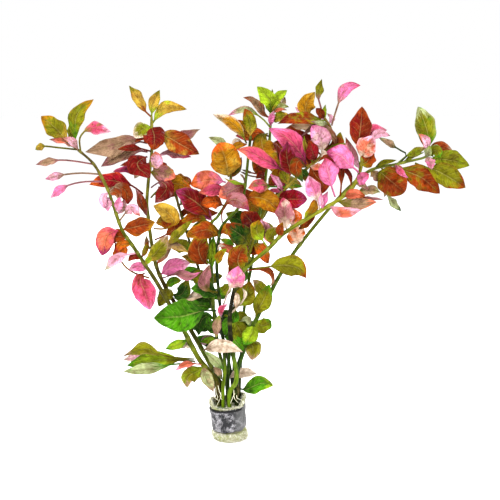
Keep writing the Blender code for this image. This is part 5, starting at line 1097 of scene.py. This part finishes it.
def leaf_finish():
    """The look of every leaf: its own three colours, its veins, its mottling, painted shade on one half and
    beside its rib, and its sheen.
    """
    look = Finish("leaf", IOR=1.4, Specular_IOR_Level=0.07)
    across = look.number("across") - 0.5
    far = across.absolute() * 2.0
    down = look.number("down")
    own = look.number("own_number")
    forward = down - far * 0.32
    streak = look.weave(across * 5.0, forward * 5.0, own * 37.0, 1.4, 4.0)
    thread = look.weave(across * 5.0, forward * 26.0, own * 61.0, 1.3, 3.0)
    cloud = look.speckle(240.0, 3.0)
    patch = look.speckle(95.0, 2.0)
    fine = look.speckle(1500.0, 2.0)
    lean = down + (streak - 0.5) * 0.75
    base, main, tip = look.tint("base_tint"), look.tint("main_tint"), look.tint("tip_tint")
    colour = look.blend(lean.step(0.02, 0.40), base, main)
    edge = (far ** 2.6) * 0.5 + lean.step(0.62, 1.02) + (patch - 0.5) * 0.45
    colour = look.blend(edge.step(0.10, 1.0), colour, tip)
    colour = look.blend(look.speckle(130.0, 3.0).step(0.52, 0.68) * 0.6, colour, base)
    pale = look.blend(0.42, colour, (0.66, 0.56, 0.20))
    # A dark copy of the colour, used for dark mottling and for painted shade
    mottle_and_shade = look.blend(1.0, colour, (0.24, 0.17, 0.10), "MULTIPLY")
    # Painted shade: one half of a folded blade is darkened, as if it lay in more shade than the other
    half = (across.step(-0.03, 0.03) - own.step(0.49, 0.51)).absolute()
    colour = look.blend(half * 0.30, colour, mottle_and_shade)
    colour = look.blend(streak.step(0.46, 0.30) * 0.75, colour, mottle_and_shade)
    colour = look.blend(thread.step(0.50, 0.34) * 0.40, colour, mottle_and_shade)
    colour = look.blend(thread.step(0.56, 0.74) * 0.22, colour, pale)
    # Side veins run forward from the rib to the margin
    lane = down * look.number("vein_count") - far * 1.35 + (look.speckle(160.0, 1.0) - 0.5) * 0.5
    between = (lane.sum("FRACT") - 0.5).absolute()
    vein = between.step(0.10, 0.0) * (1.0 - 0.6 * far) * down.step(0.0, 0.08)
    rib = far.step(0.070, 0.015) * (1.0 - 0.8 * down)
    colour = look.blend(vein * 0.16, colour, pale)
    # Painted shade: the blade is darkened beside its rib, where the fold makes a crease
    colour = look.blend(far.step(0.32, 0.08) * 0.30, colour, mottle_and_shade)
    colour = look.blend(rib * 0.55, colour, pale)
    # Dark mottling: partly the leaf's own colour, partly painted shade that deepens its contrast
    colour = look.blend((cloud - 0.48).step(0.0, 0.26) * 0.60, colour, mottle_and_shade)
    colour = look.blend(patch.step(0.50, 0.36) * 0.40, colour, mottle_and_shade)
    colour = look.blend(fine.step(0.56, 0.74) * 0.28, colour, mottle_and_shade)
    colour = look.blend(far.step(0.92, 0.99) * own.step(0.3, 0.9) * 0.22, colour, pale)
    roughness = 0.34 + 0.22 * cloud + 0.10 * fine
    height = between.step(0.30, 0.0) * 0.7 + rib * 0.9 + fine * 0.16
    height = height + cloud * 0.45 + thread * 0.6 + streak * 0.9
    return look.shade(Base_Color=colour, Roughness=roughness, Normal=look.bump(height, 0.85, 0.0006))


def stem_finish():
    """The look of a stem: its colours from foot to top, its streaks and its paler nodes."""
    look = Finish("stem", IOR=1.42, Specular_IOR_Level=0.08)
    colour = look.tint("own_tint")
    off_middle = look.node("ShaderNodeVectorMath", {"operation": "SUBTRACT"},
                           {0: look.place(), 1: look.tint("middle")})
    streak = look.node("ShaderNodeTexNoise", {"noise_dimensions": "4D"},
                       {"Vector": off_middle, "W": look.number("run") * 0.09, "Scale": 900.0, "Detail": 3.0})
    cloud = look.speckle(170.0, 3.0)
    dark = look.blend(1.0, colour, (0.30, 0.26, 0.20), "MULTIPLY")
    pale = look.blend(0.30, colour, (0.50, 0.50, 0.10))
    colour = look.blend(streak.step(0.46, 0.62) * 0.75, colour, dark)
    colour = look.blend(cloud.step(0.50, 0.36) * 0.50, colour, dark)
    colour = look.blend(cloud.step(0.54, 0.72) * 0.35, colour, pale)
    colour = look.blend(look.number("knot").step(0.25, 0.9) * 0.35, colour, pale)
    return look.shade(Base_Color=colour, Roughness=0.34 + 0.20 * streak,
                      Normal=look.bump(streak + 0.4 * cloud, 0.6, 0.0004))


def wool_finish():
    """The look of the wool: pale and matted outside, with painted shade darkening its hollow."""
    look = Finish("wool", Roughness=0.95, IOR=1.35, Specular_IOR_Level=0.2)
    clump = look.speckle(260.0, 4.0)
    strand = look.speckle(1100.0, 4.0, (1.0, 1.0, 0.22), 0.7)
    colour = look.blend(clump.step(0.60, 0.38), setting_colour("holder", "wool"),
                        setting_colour("holder", "wool_shade"))
    colour = look.blend(strand.step(0.50, 0.32) * 0.5, colour, (0.24, 0.26, 0.12))
    # Painted shade: the wool is darkened in its hollow, broken up by the clumps
    painted_hollow_shade = look.number("inside") + (clump - 0.5) * 0.9
    colour = look.blend(painted_hollow_shade.step(0.35, 0.95), colour, setting_colour("holder", "wool_hollow_shade"))
    return look.shade(Base_Color=colour, Normal=look.bump(strand * 0.7 + clump, 0.9, 0.0009))


def fibre_finish():
    """The look of the loose fibres."""
    look = Finish("wool_fibre", Roughness=0.85, IOR=1.35)
    strands = look.speckle(400.0).step(0.35, 0.65)
    return look.shade(Base_Color=look.blend(strands, setting_colour("holder", "wool"), (0.80, 0.79, 0.66)))


def lead_finish():
    """The look of the lead: bright where rubbed, dull grey in patches, with painted light on its front and
    painted shade round the rest, and a painted black shadow along its upper edge.
    """
    look = Finish("lead", Metallic=0.5, IOR=1.5, Specular_IOR_Level=0.25)
    patch = look.speckle(170.0, 6.0, None, 0.7)
    fine = look.speckle(1500.0, 4.0, None, 0.75)
    scratch = look.speckle(700.0, 2.0, (0.25, 0.25, 2.6))
    rubbed = (patch * 0.6 + fine * 0.4).step(0.47, 0.66)
    around = look.number("round")
    # Painted light and shade: the front stretch takes the rubbed bright patches in full and the dull grey,
    # and the rest is painted near-black grey as shade
    front = around.step(0.66, 0.76) * around.step(0.97, 0.90)
    dull, bright = setting_colour("holder", "lead_dark"), setting_colour("holder", "lead")
    grey = look.blend(patch.step(0.3, 0.7), (0.05, 0.05, 0.05), (0.11, 0.11, 0.11))
    colour = look.blend(rubbed * (0.25 + 0.75 * front), look.blend(front, grey, dull), bright)
    # Painted shadow: a near-black band along the upper rim of the strip's outer turn, for the shadowed gap
    # between strip and wool
    edge = look.number("high").step(0.915, 0.935) * around.step(0.45, 0.5) * 0.96
    colour = look.blend(edge, colour, (0.004, 0.004, 0.004))
    return look.shade(Base_Color=colour, Roughness=0.42 + 0.34 * patch,
                      Normal=look.bump(patch * 0.9 + fine * 0.35 + scratch * 0.4, 0.8, 0.0007))


def root_finish():
    """The look of the roots."""
    look = Finish("root", Roughness=0.5, IOR=1.4, Specular_IOR_Level=0.3)
    tint = look.tint("own_tint")
    dull = look.blend(1.0, tint, (0.55, 0.50, 0.35), "MULTIPLY")
    return look.shade(Base_Color=look.blend(look.speckle(500.0).step(0.45, 0.75), tint, dull))


def floor_finish():
    """The look of the floor."""
    return Finish("floor", Roughness=0.9, Base_Color=(*setting_colour("stage", "floor"), 1.0)).material


class ShapeTree(Tree):
    """A Geometry Nodes tree under way: from what it is given by name to one shape."""

    def __init__(self, name, **given):
        super().__init__(bpy.data.node_groups.new(name, "GeometryNodeTree"))
        self.names = {}
        for label, kind in given.items():
            socket = self.tree.interface.new_socket(label, in_out="INPUT", socket_type="NodeSocket" + kind)
            self.names[label] = socket.identifier
        self.tree.interface.new_socket("Shape", in_out="OUTPUT", socket_type="NodeSocketGeometry")
        self.entry = self.tree.nodes.new("NodeGroupInput")

    def given(self, label):
        """What the tree is given under a name."""
        return Wire(self, self.entry.outputs[label])

    def give(self, shape):
        """Give back the shape in the finish that the tree is given."""
        painted = self.node("GeometryNodeSetMaterial", None,
                            {"Geometry": shape, "Material": self.given("Finish")})
        result = self.tree.nodes.new("NodeGroupOutput")
        self.tree.links.new(painted.socket, result.inputs["Shape"])
        return self

    def run(self, obj, **values):
        """Run an object through the tree and keep the plain result."""
        modifier = obj.modifiers.new("nodes", "NODES")
        modifier.node_group = self.tree
        for label, value in values.items():
            modifier[self.names[label]] = value
        bpy.context.view_layer.update()
        evaluated = obj.evaluated_get(bpy.context.evaluated_depsgraph_get())
        mesh = bpy.data.meshes.new_from_object(evaluated)
        obj.modifiers.clear()
        obj.data = mesh
        return obj


def rod_tree():
    """From lines to round rods: the radius is kept on the line's points."""
    tree = ShapeTree("round_rod", Line="Geometry", Sides="Int", Finish="Material")
    curve = tree.node("GeometryNodeMeshToCurve", None, {"Mesh": tree.given("Line")})
    radius = tree.node("GeometryNodeInputNamedAttribute", {"data_type": "FLOAT"}, {"Name": "rod_radius"})
    profile = tree.node("GeometryNodeCurvePrimitiveCircle", None,
                        {"Resolution": tree.given("Sides"), "Radius": 1.0})
    rod = tree.node("GeometryNodeCurveToMesh", None,
                    {"Curve": curve, "Profile Curve": profile, "Scale": radius, "Fill Caps": True})
    return tree.give(tree.node("GeometryNodeSetShadeSmooth", None, {"Geometry": rod}))


def fibre_tree():
    """From a surface to short bent fibres scattered over it."""
    tree = ShapeTree("loose_fibres", Surface="Geometry", Density="Float", Length="Float", Finish="Material")
    scatter = {"Mesh": tree.given("Surface"), "Density": tree.given("Density"), "Seed": 7}
    spots = tree.node("GeometryNodeDistributePointsOnFaces", None, scatter)
    outward = Wire(tree, spots.socket.node.outputs["Normal"])
    arc = tree.node("GeometryNodeCurveQuadraticBezier", None,
                    {"Resolution": 4, "Start": (-0.5, 0.0, -0.06), "Middle": (0.05, 0.10, 0.24),
                     "End": (0.5, -0.08, -0.04)})
    profile = tree.node("GeometryNodeCurvePrimitiveCircle", None, {"Resolution": 3, "Radius": 0.032})
    fibre = tree.node("GeometryNodeCurveToMesh", None,
                      {"Curve": arc, "Profile Curve": profile, "Fill Caps": True})
    upright = tree.node("FunctionNodeAlignRotationToVector", {"axis": "Z"}, {"Vector": outward})
    spin = tree.node("FunctionNodeRandomValue", {"data_type": "FLOAT_VECTOR"},
                     {"Min": (-0.35, -0.35, -3.1416), "Max": (0.35, 0.35, 3.1416), "Seed": 3})
    turn = tree.node("FunctionNodeRotateRotation", {"rotation_space": "LOCAL"},
                     {"Rotation": upright, "Rotate By": spin})
    size = tree.node("FunctionNodeRandomValue", {"data_type": "FLOAT"}, {2: 0.5, 3: 1.5, "Seed": 5}, 1)
    placed = tree.node("GeometryNodeInstanceOnPoints", None,
                       {"Points": spots, "Instance": fibre, "Rotation": turn,
                        "Scale": size * tree.given("Length")})
    return tree.give(tree.node("GeometryNodeRealizeInstances", None, {"Geometry": placed}))


def linked(name, data):
    """A new object of the scene."""
    obj = bpy.data.objects.new(name, data)
    bpy.context.scene.collection.objects.link(obj)
    return obj


def keep_on(mesh, kept):
    """Keep numbers, or colours and places, on a mesh's corners."""
    for name, values in kept.items():
        if isinstance(values[0], tuple):
            layer = mesh.attributes.new(name, "FLOAT_COLOR", "POINT")
            layer.data.foreach_set("color", [part for value in values for part in (*value, 1.0)])
        else:
            layer = mesh.attributes.new(name, "FLOAT", "POINT")
            layer.data.foreach_set("value", values)


class Sheet:
    """Corners, faces and what is kept on the corners, for one mesh."""

    def __init__(self):
        self.corners = []
        self.faces = []
        self.kept = {}

    def keep(self, count=1, **values):
        """Keep numbers or colours on the next corners."""
        for name, value in values.items():
            self.kept.setdefault(name, []).extend([value] * count)

    def mesh(self, name, finish):
        """The finished object, at the origin."""
        mesh = bpy.data.meshes.new(name)
        mesh.from_pydata([corner * MM for corner in self.corners], [], self.faces)
        keep_on(mesh, self.kept)
        mesh.materials.append(finish)
        mesh.validate()
        mesh.update()
        mesh.shade_smooth()
        return linked(name, mesh)


def rods(name, lines, kept, finish, sides):
    """Round rods along lines of (point, radius), each point with what is kept on it."""
    mesh = bpy.data.meshes.new(name)
    corners, edges, radii = [], [], []
    for line in lines:
        start = len(corners)
        corners += [point * MM for point, _ in line]
        radii += [radius * MM for _, radius in line]
        edges += [(start + index, start + index + 1) for index in range(len(line) - 1)]
    mesh.from_pydata(corners, edges, [])
    keep_on(mesh, {"rod_radius": radii, **kept})
    return once(rod_tree).run(linked(name, mesh), Sides=sides, Finish=finish)


def joined_meshes(name, objects):
    """Several objects as one, each keeping its finish."""
    shell = bmesh.new()
    finishes = []
    for obj in objects:
        slots = []
        for finish in obj.data.materials:
            if finish not in finishes:
                finishes.append(finish)
            slots.append(finishes.index(finish))
        start = len(shell.faces)
        shell.from_mesh(obj.data)
        shell.faces.ensure_lookup_table()
        for face in shell.faces[start:]:
            face.material_index = slots[face.material_index]
    mesh = bpy.data.meshes.new(name)
    shell.to_mesh(mesh)
    shell.free()
    for finish in finishes:
        mesh.materials.append(finish)
    for obj in objects:
        bpy.data.objects.remove(obj)
    return linked(name, mesh)


def blade_share(share, full):
    """How wide a blade is at a share of its length; a fuller blade is blunter."""
    for (low, near), (high, far) in zip(BLADE, BLADE[1:]):
        if share <= high:
            part = (share - low) / (high - low)
            return (near + (far - near) * part) ** full
    return 0.0


def leaf_shares(stalk, rows):
    """Where a finished leaf's rows lie, as shares of its length, and the share that is stalk."""
    if stalk >= STALK_FROM:
        stalk_rows = max(3, int(rows * stalk * 0.6))
        shares = [stalk * step / stalk_rows for step in range(stalk_rows)]
        first = 0
    else:
        stalk, shares, first = stalk * 0.55, [0.0], 1
    for step in range(first, rows + 1):
        shares.append(stalk + (1.0 - stalk) * (0.5 - 0.5 * math.cos(math.pi * (step / rows) ** 0.92)))
    return shares, stalk


def add_leaf(sheet, name, number):
    """Add one leaf to a sheet: a folded, arched, waved blade on its stalk, closed all round."""
    row, _, line, squeeze = PLACED[(name, number)]
    detail = settings("leaf")
    dice = random.Random(f"{name} {number}")
    width, turn, view, mean_side = leaf_stance(row, line, squeeze)
    if row[1] >= SMALL_WIDTH:
        rows, columns = detail.rows, detail.columns
    else:
        rows, columns = max(8, detail.rows * 2 // 3), max(6, detail.columns // 2)
    shares, stalk = leaf_shares(row[4], rows)
    count = dice.uniform(1.3, 2.6)
    phases = (dice.uniform(0.0, math.tau), dice.uniform(0.0, math.tau))
    wave = detail.waves * dice.uniform(0.6, 1.5)
    arch = DROOP + dice.uniform(-0.04, 0.20)
    twist = dice.uniform(-0.35, 0.35)
    full = max(0.5, min(1.05, 1.3 - 0.9 * width / distances(line)[-1])) * dice.uniform(0.9, 1.06)
    fold = FOLD * dice.uniform(0.8, 2.6)
    own = dice.random()
    first = len(sheet.corners)
    for share, (place, onward) in zip(shares, along(line, shares)):
        blade = max(0.0, (share - stalk) / (1.0 - stalk))
        side, lift = leaf_ways(onward, turn + twist * (blade - 0.5), view, mean_side)
        stalk_half = STALK_WIDTH * 0.5 * (1.0 - 0.35 * blade)
        half = max(stalk_half * (1.0 - blade) ** 0.5, width * 0.5 * blade_share(blade, full), 0.06)
        flesh = detail.thickness / MM * (1.0 - TIP_THINNING * blade)
        for layer in (1.0, -1.0):
            for column in range(columns):
                u = layer * (-1.0 + 2.0 * column / (columns - 1))
                far = abs(u)
                margin = noise.noise(Vector((blade * 4.2, math.copysign(3.0, u), own * 90.0)))
                reach = u * half * (1.0 + MARGIN_WANDER * margin)
                ripple = math.sin(math.tau * count * blade + phases[0 if u > 0.0 else 1])
                crumple = noise.noise(Vector((u * 1.7, blade * 4.0, own * 50.0)))
                rise = half * (fold * far - arch * far * far)
                rise += half * wave * far * far * ripple * min(1.0, blade * 4.0)
                rise += half * CRUMPLE * crumple * min(1.0, blade * 5.0)
                depth = flesh * 0.5 * (1.0 - MARGIN_THINNING * far * far) + THINNEST
                if layer < 0.0:
                    depth += math.exp(-(u * half / RIB_HALF) ** 2) * RIB_DEPTH * (1.0 - 0.8 * blade)
                sheet.corners.append(place + side * reach + lift * (rise + layer * depth))
                sheet.keep(across=u * 0.5 + 0.5, down=blade)
    ring = columns * 2
    total = len(shares) * ring
    sheet.faces += ring_faces(len(shares), ring, first)
    sheet.faces.append(tuple(first + column for column in reversed(range(ring))))
    sheet.faces.append(tuple(first + total - ring + column for column in range(ring)))
    base, main, tip = (setting_colour("leaf", key) for key in row[5].split())
    sheet.keep(total, base_tint=base, main_tint=main, tip_tint=tip, vein_count=5.0 + width * 0.14,
               own_number=own)


def build_leaf(name, number):
    """One large leaf, as its own piece, with the slot name that its main colour gives."""
    sheet = Sheet()
    add_leaf(sheet, name, number)
    main_colour = PLACED[(name, number)][0][5].split()[1]
    return sheet.mesh(f"{name}_blade_{number:02d}", once(leaf_finish)), SLOT_OF[main_colour]


def stem_tint(name, height):
    """A stem's colour at a height, as the shader takes it."""
    stops = STEM_COLOURS[name]
    before = stops[0]
    for after in stops:
        if height <= after[0]:
            part = (height - before[0]) / max(after[0] - before[0], 0.01)
            return linear(Vector(before[1]).lerp(Vector(after[1]), max(0.0, part)))
        before = after
    return linear(before[1])


def stem_line(name):
    """A stem's smooth line of points with their radii, and what is kept on each for its look."""
    line = smooth_line(stem_axis(name), 7)
    knots = []
    for (grown_on, _), (_, _, leaf, _) in PLACED.items():
        if grown_on == name and all((leaf[0] - knot).length > NODE_GAP for knot in knots):
            knots.append(leaf[0])
    lengths = distances(line)
    points = []
    kept = {"own_tint": [], "knot": [], "run": [], "middle": []}
    for point, length in zip(line, lengths):
        near = max([math.exp(-((point - knot).length / NODE_REACH) ** 2) for knot in knots] + [0.0])
        radius = stem_radius(name, length / lengths[-1]) + settings("stem").node_swell / MM * near
        points.append((point, radius))
        kept["own_tint"].append(stem_tint(name, shown_height(point)))
        kept["knot"].append(near)
        kept["run"].append(length * MM)
        kept["middle"].append(tuple(point * MM))
    points[-1] = (points[-1][0], points[-1][1] * STEM_TIP)
    return points, kept


def build_stem(name):
    """One stem with the small leaves that grow on it."""
    points, kept = stem_line(name)
    rod = rods(name + "_rod", [points], kept, once(stem_finish), settings("stem").sides)
    small = Sheet()
    for (grown_on, number), (_, own, _, _) in PLACED.items():
        if grown_on == name and not own:
            add_leaf(small, name, number)
    return joined_meshes(name + "_cutting", [rod, small.mesh(name + "_small_leaves", once(leaf_finish))])


def plug_levels():
    """The plug's levels, each with its radius, its height and how far inside the hollow it is."""
    outline = [(spot.x, spot.z) for spot in
               smooth_line([Vector((radius, 0.0, height)) for radius, height in PLUG_OUTLINE[1:-1]], 5)]
    rim = max(range(len(outline)), key=lambda index: outline[index][1])
    levels = [(PLUG_OUTLINE[1][0] * step / 4, 0.0, 0.0) for step in range(1, 4)]
    levels += [(radius, height, 0.0) for radius, height in outline[:rim]]
    levels += [(*spot, min(1.0, (index + 1) / 6.0)) for index, spot in enumerate(outline[rim:])]
    return levels + [(outline[-1][0] * (1.0 - step / 8), PLUG_OUTLINE[-1][1], 1.0) for step in range(1, 8)]


def matted(place, angle, inside):
    """Where a point of the upright plug is once the wool is lumped, wrapped and leaned."""
    outward = Vector((0.0, 0.0, 1.0)) if inside else Vector((math.cos(angle), math.sin(angle), 0.0))
    lump = noise.noise(place * 0.22) * 0.75 + noise.noise(place * 0.65) * 0.35
    lump += noise.noise(Vector((place.x, place.y, place.z * 0.4)) * 1.7) * 0.28
    hold = HELD_LUMPS if UNDER_BAND_FROM < place.z < RIM_FROM else 1.0
    spot = wrapped(place) + outward * lump * hold * min(1.0, math.hypot(place.x, place.y) / 3.0)
    spot.z = max(spot.z, 0.0)
    return spot


def build_plug_body():
    """The wool plug: its outline turned round, then lumped and matted."""
    sheet = Sheet()
    levels = plug_levels()
    for radius, height, inside in levels:
        for step in range(PLUG_STEPS):
            angle = math.tau * step / PLUG_STEPS
            place = Vector((radius * math.cos(angle), radius * math.sin(angle), height))
            sheet.corners.append(matted(place, angle, inside) if height > 0.3 else place)
            sheet.keep(inside=inside)
    sheet.faces += ring_faces(len(levels), PLUG_STEPS)
    base = len(sheet.corners)
    top, last = base + 1, base - PLUG_STEPS
    sheet.corners += [Vector((0.0, 0.0, 0.0)), wrapped(Vector((0.0, 0.0, PLUG_OUTLINE[-1][1])))]
    sheet.keep(inside=0.0)
    sheet.keep(inside=1.0)
    for step in range(PLUG_STEPS):
        there = (step + 1) % PLUG_STEPS
        sheet.faces.append((base, there, step))
        sheet.faces.append((top, last + step, last + there))
    return sheet.mesh("wool_body", once(wool_finish))


def build_fibres(plug):
    """Loose fibres over the wool that shows above and below the band."""
    shell = bmesh.new()
    shell.from_mesh(plug.data)
    hidden = []
    for face in shell.faces:
        height = face.calc_center_median().z / MM
        if BARE_FROM < height < RIM_FROM or height < BARE_FOOT:
            hidden.append(face)
    bmesh.ops.delete(shell, geom=hidden, context="FACES")
    area = sum(face.calc_area() for face in shell.faces)
    mesh = bpy.data.meshes.new("wool_fibres")
    shell.to_mesh(mesh)
    shell.free()
    holder = settings("holder")
    obj = fibre_tree().run(linked("wool_fibres", mesh), Density=holder.fibres / area,
                           Length=holder.fibre_length, Finish=once(fibre_finish))
    for corner in obj.data.vertices:
        corner.co.z = max(corner.co.z, FIBRE_FLOOR * MM)
    return obj


def band_corner(share, side, high):
    """One corner of the lead strip, at a share of its length, on one side and at a share of its height."""
    degrees = BAND_END - BAND_WRAP * (1.0 - share)
    angle = math.radians(degrees)
    outward = Vector((math.cos(angle), math.sin(angle), 0.0))
    reach = BAND_OUTER - (BAND_SHEET + BAND_LAYER_GAP) * (1.0 - share) * BAND_WRAP / 360.0
    radius = reach - BAND_SHEET * 0.5 + BAND_FLARE * (high - 0.5)
    spot = Vector((math.cos(angle) * 12.0, math.sin(angle) * 12.0, high * BAND_HEIGHT))
    dent = noise.noise(spot * 0.17) * 0.42 + noise.noise(spot * 0.48 + outward) * 0.20
    dent += noise.noise(spot * 1.3) * 0.07
    if share < BAND_LAPPED or share > 1.0 - BAND_LAPPED:
        dent *= LAPPED_DENTS
    rim = math.sin(degrees * 0.11) * RIM_WAVE
    rim += noise.noise(spot * 0.35 + Vector((9.0, 0.0, 0.0))) * RIM_WANDER
    end = 1.0 - 0.5 * max(0.0, (share - 0.995) / 0.005)
    half = BAND_SHEET * 0.5 * end * (1.0 if 0.02 < high < 0.98 else 0.72)
    place = outward * (radius + dent + side * half)
    place.z = BAND_BOTTOM + (BAND_HEIGHT + lap_lift(outward)) * high + rim * (high - 0.5) * 1.6
    place.z += LEAN * place.x
    place.x -= LEAN * (place.z - LEAN_FROM)
    return place


def build_band():
    """The lead strip: wound on, dented and wavy at its rims."""
    sheet = Sheet()
    outer = [(1.0, level / BAND_LEVELS) for level in range(BAND_LEVELS + 1)]
    inner = [(-1.0, 1.0 - level / BAND_LEVELS) for level in range(BAND_LEVELS + 1)]
    for step in range(BAND_STEPS + 1):
        share = step / BAND_STEPS
        for side, high in outer + inner:
            sheet.corners.append(band_corner(share, side, high))
            sheet.keep(high=high, round=share)
    ring = len(outer + inner)
    sheet.faces += [(there, here, far_here, far_there)
                    for here, there, far_there, far_here in ring_faces(BAND_STEPS + 1, ring)]
    sheet.faces.append(tuple(range(ring)))
    sheet.faces.append(tuple(BAND_STEPS * ring + column for column in reversed(range(ring))))
    return sheet.mesh("lead_strip", once(lead_finish))


def build_roots():
    """The thin roots among the stems and over the wool."""
    radius = settings("stem").root_radius / MM
    lines, tints = [], []
    for colour, places in ROOTS.items():
        for root in places:
            line = smooth_line([seen(*point) for point in root], 6)
            lines.append([(point, radius * (1.0 - ROOT_TAPER * index / len(line)))
                          for index, point in enumerate(line)])
            tints += [setting_colour("stem", colour)] * len(line)
    return rods("roots", lines, {"own_tint": tints}, once(root_finish), ROOT_SIDES)


class OBJECT_OT_ludwigia_leaves(bpy.types.Operator):
    """Build the large leaves, each as its own piece"""
    bl_idname = "ludwigia.leaves"
    bl_label = "Large leaves"

    def execute(self, context):
        for (name, number), (_, own, _, _) in PLACED.items():
            if own:
                piece, record_slot = build_leaf(name, number)
                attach(piece, "root")
                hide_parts(f"{name}_leaf_{number:02d}")
        return {"FINISHED"}


class OBJECT_OT_ludwigia_stems(bpy.types.Operator):
    """Build the stems with the small leaves that grow on them"""
    bl_idname = "ludwigia.stems"
    bl_label = "Stems and small leaves"

    def execute(self, context):
        for name in STEMS:
            piece = build_stem(name)
            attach(piece, "root")
            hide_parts(name)
        return {"FINISHED"}


class OBJECT_OT_ludwigia_plug(bpy.types.Operator):
    """Build the wool plug with its loose fibres"""
    bl_idname = "ludwigia.plug"
    bl_label = "Wool plug"

    def execute(self, context):
        body = build_plug_body()
        piece = joined_meshes("wool_plug", [body, build_fibres(body)])
        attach(piece, "root")
        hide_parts("foam_plug")
        return {"FINISHED"}


class OBJECT_OT_ludwigia_band(bpy.types.Operator):
    """Build the lead strip"""
    bl_idname = "ludwigia.band"
    bl_label = "Lead strip"

    def execute(self, context):
        piece = build_band()
        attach(piece, "root")
        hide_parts("lead_band")
        return {"FINISHED"}


class OBJECT_OT_ludwigia_roots(bpy.types.Operator):
    """Build the thin roots over the wool"""
    bl_idname = "ludwigia.roots"
    bl_label = "Roots"

    def execute(self, context):
        piece = build_roots()
        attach(piece, "root")
        return {"FINISHED"}


class OBJECT_OT_ludwigia_stage(bpy.types.Operator):
    """Set the floor, the lights and the camera"""
    bl_idname = "ludwigia.stage"
    bl_label = "Floor, light and camera"

    def execute(self, context):
        mesh = bpy.data.meshes.new("floor")
        far = FLOOR_REACH
        corners = [(-far, -far, 0.0), (far, -far, 0.0), (far, far, 0.0), (-far, far, 0.0)]
        mesh.from_pydata(corners, [], [(0, 1, 2, 3)])
        mesh.materials.append(floor_finish())
        made = [linked("floor", mesh)]
        for name, place, width, power in LIGHTS:
            light = bpy.data.lights.new(name, "AREA")
            light.size = width
            light.energy = settings("stage").key_power * power
            lamp = linked(name, light)
            lamp.location = place
            towards = LIT_POINT - lamp.location
            lamp.rotation_euler = towards.to_track_quat("-Z", "Y").to_euler()
            made.append(lamp)
        world = bpy.data.worlds.new("pale room")
        world.use_nodes = True
        background = world.node_tree.nodes["Background"]
        background.inputs["Color"].default_value = (1.0, 1.0, 1.0, 1.0)
        background.inputs["Strength"].default_value = 1.0
        context.scene.world = world
        lens = bpy.data.cameras.new("camera")
        lens.lens = FOCAL_LENGTH
        camera = linked("camera", lens)
        camera.location = EYE * MM
        camera.rotation_euler = (math.radians(90.0) - LOOK_DOWN, 0.0, 0.0)
        context.scene.camera = camera
        context.scene.view_settings.view_transform = "Standard"
        return {"FINISHED"}


class VIEW3D_PT_ludwigia(bpy.types.Panel):
    """The bunch's settings and its builders"""
    bl_label = "Ludwigia bunch"
    bl_space_type = "VIEW_3D"
    bl_region_type = "UI"
    bl_category = "Ludwigia"

    def draw(self, context):
        for group, kind in SETTINGS.items():
            box = self.layout.box()
            for name in kind.__annotations__:
                box.prop(getattr(context.scene, f"ludwigia_{group}"), name)
        for builder in BUILDERS:
            self.layout.operator(builder.bl_idname)


BUILDERS = (OBJECT_OT_ludwigia_plug, OBJECT_OT_ludwigia_band, OBJECT_OT_ludwigia_stems,
            OBJECT_OT_ludwigia_leaves, OBJECT_OT_ludwigia_roots, OBJECT_OT_ludwigia_stage)
CLASSES = (*SETTINGS.values(), *BUILDERS, VIEW3D_PT_ludwigia)


def register():
    for kind in CLASSES:
        bpy.utils.register_class(kind)
    for group, kind in SETTINGS.items():
        setattr(bpy.types.Scene, f"ludwigia_{group}", bpy.props.PointerProperty(type=kind))


def unregister():
    for group in SETTINGS:
        delattr(bpy.types.Scene, f"ludwigia_{group}")
    for kind in reversed(CLASSES):
        bpy.utils.unregister_class(kind)


def main():
    register()
    place_leaves()
    bpy.ops.ludwigia.plug()
    bpy.ops.ludwigia.band()
    bpy.ops.ludwigia.stems()
    bpy.ops.ludwigia.leaves()
    bpy.ops.ludwigia.roots()
    bpy.ops.ludwigia.stage()
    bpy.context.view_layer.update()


if __name__ == "__main__":
    main()
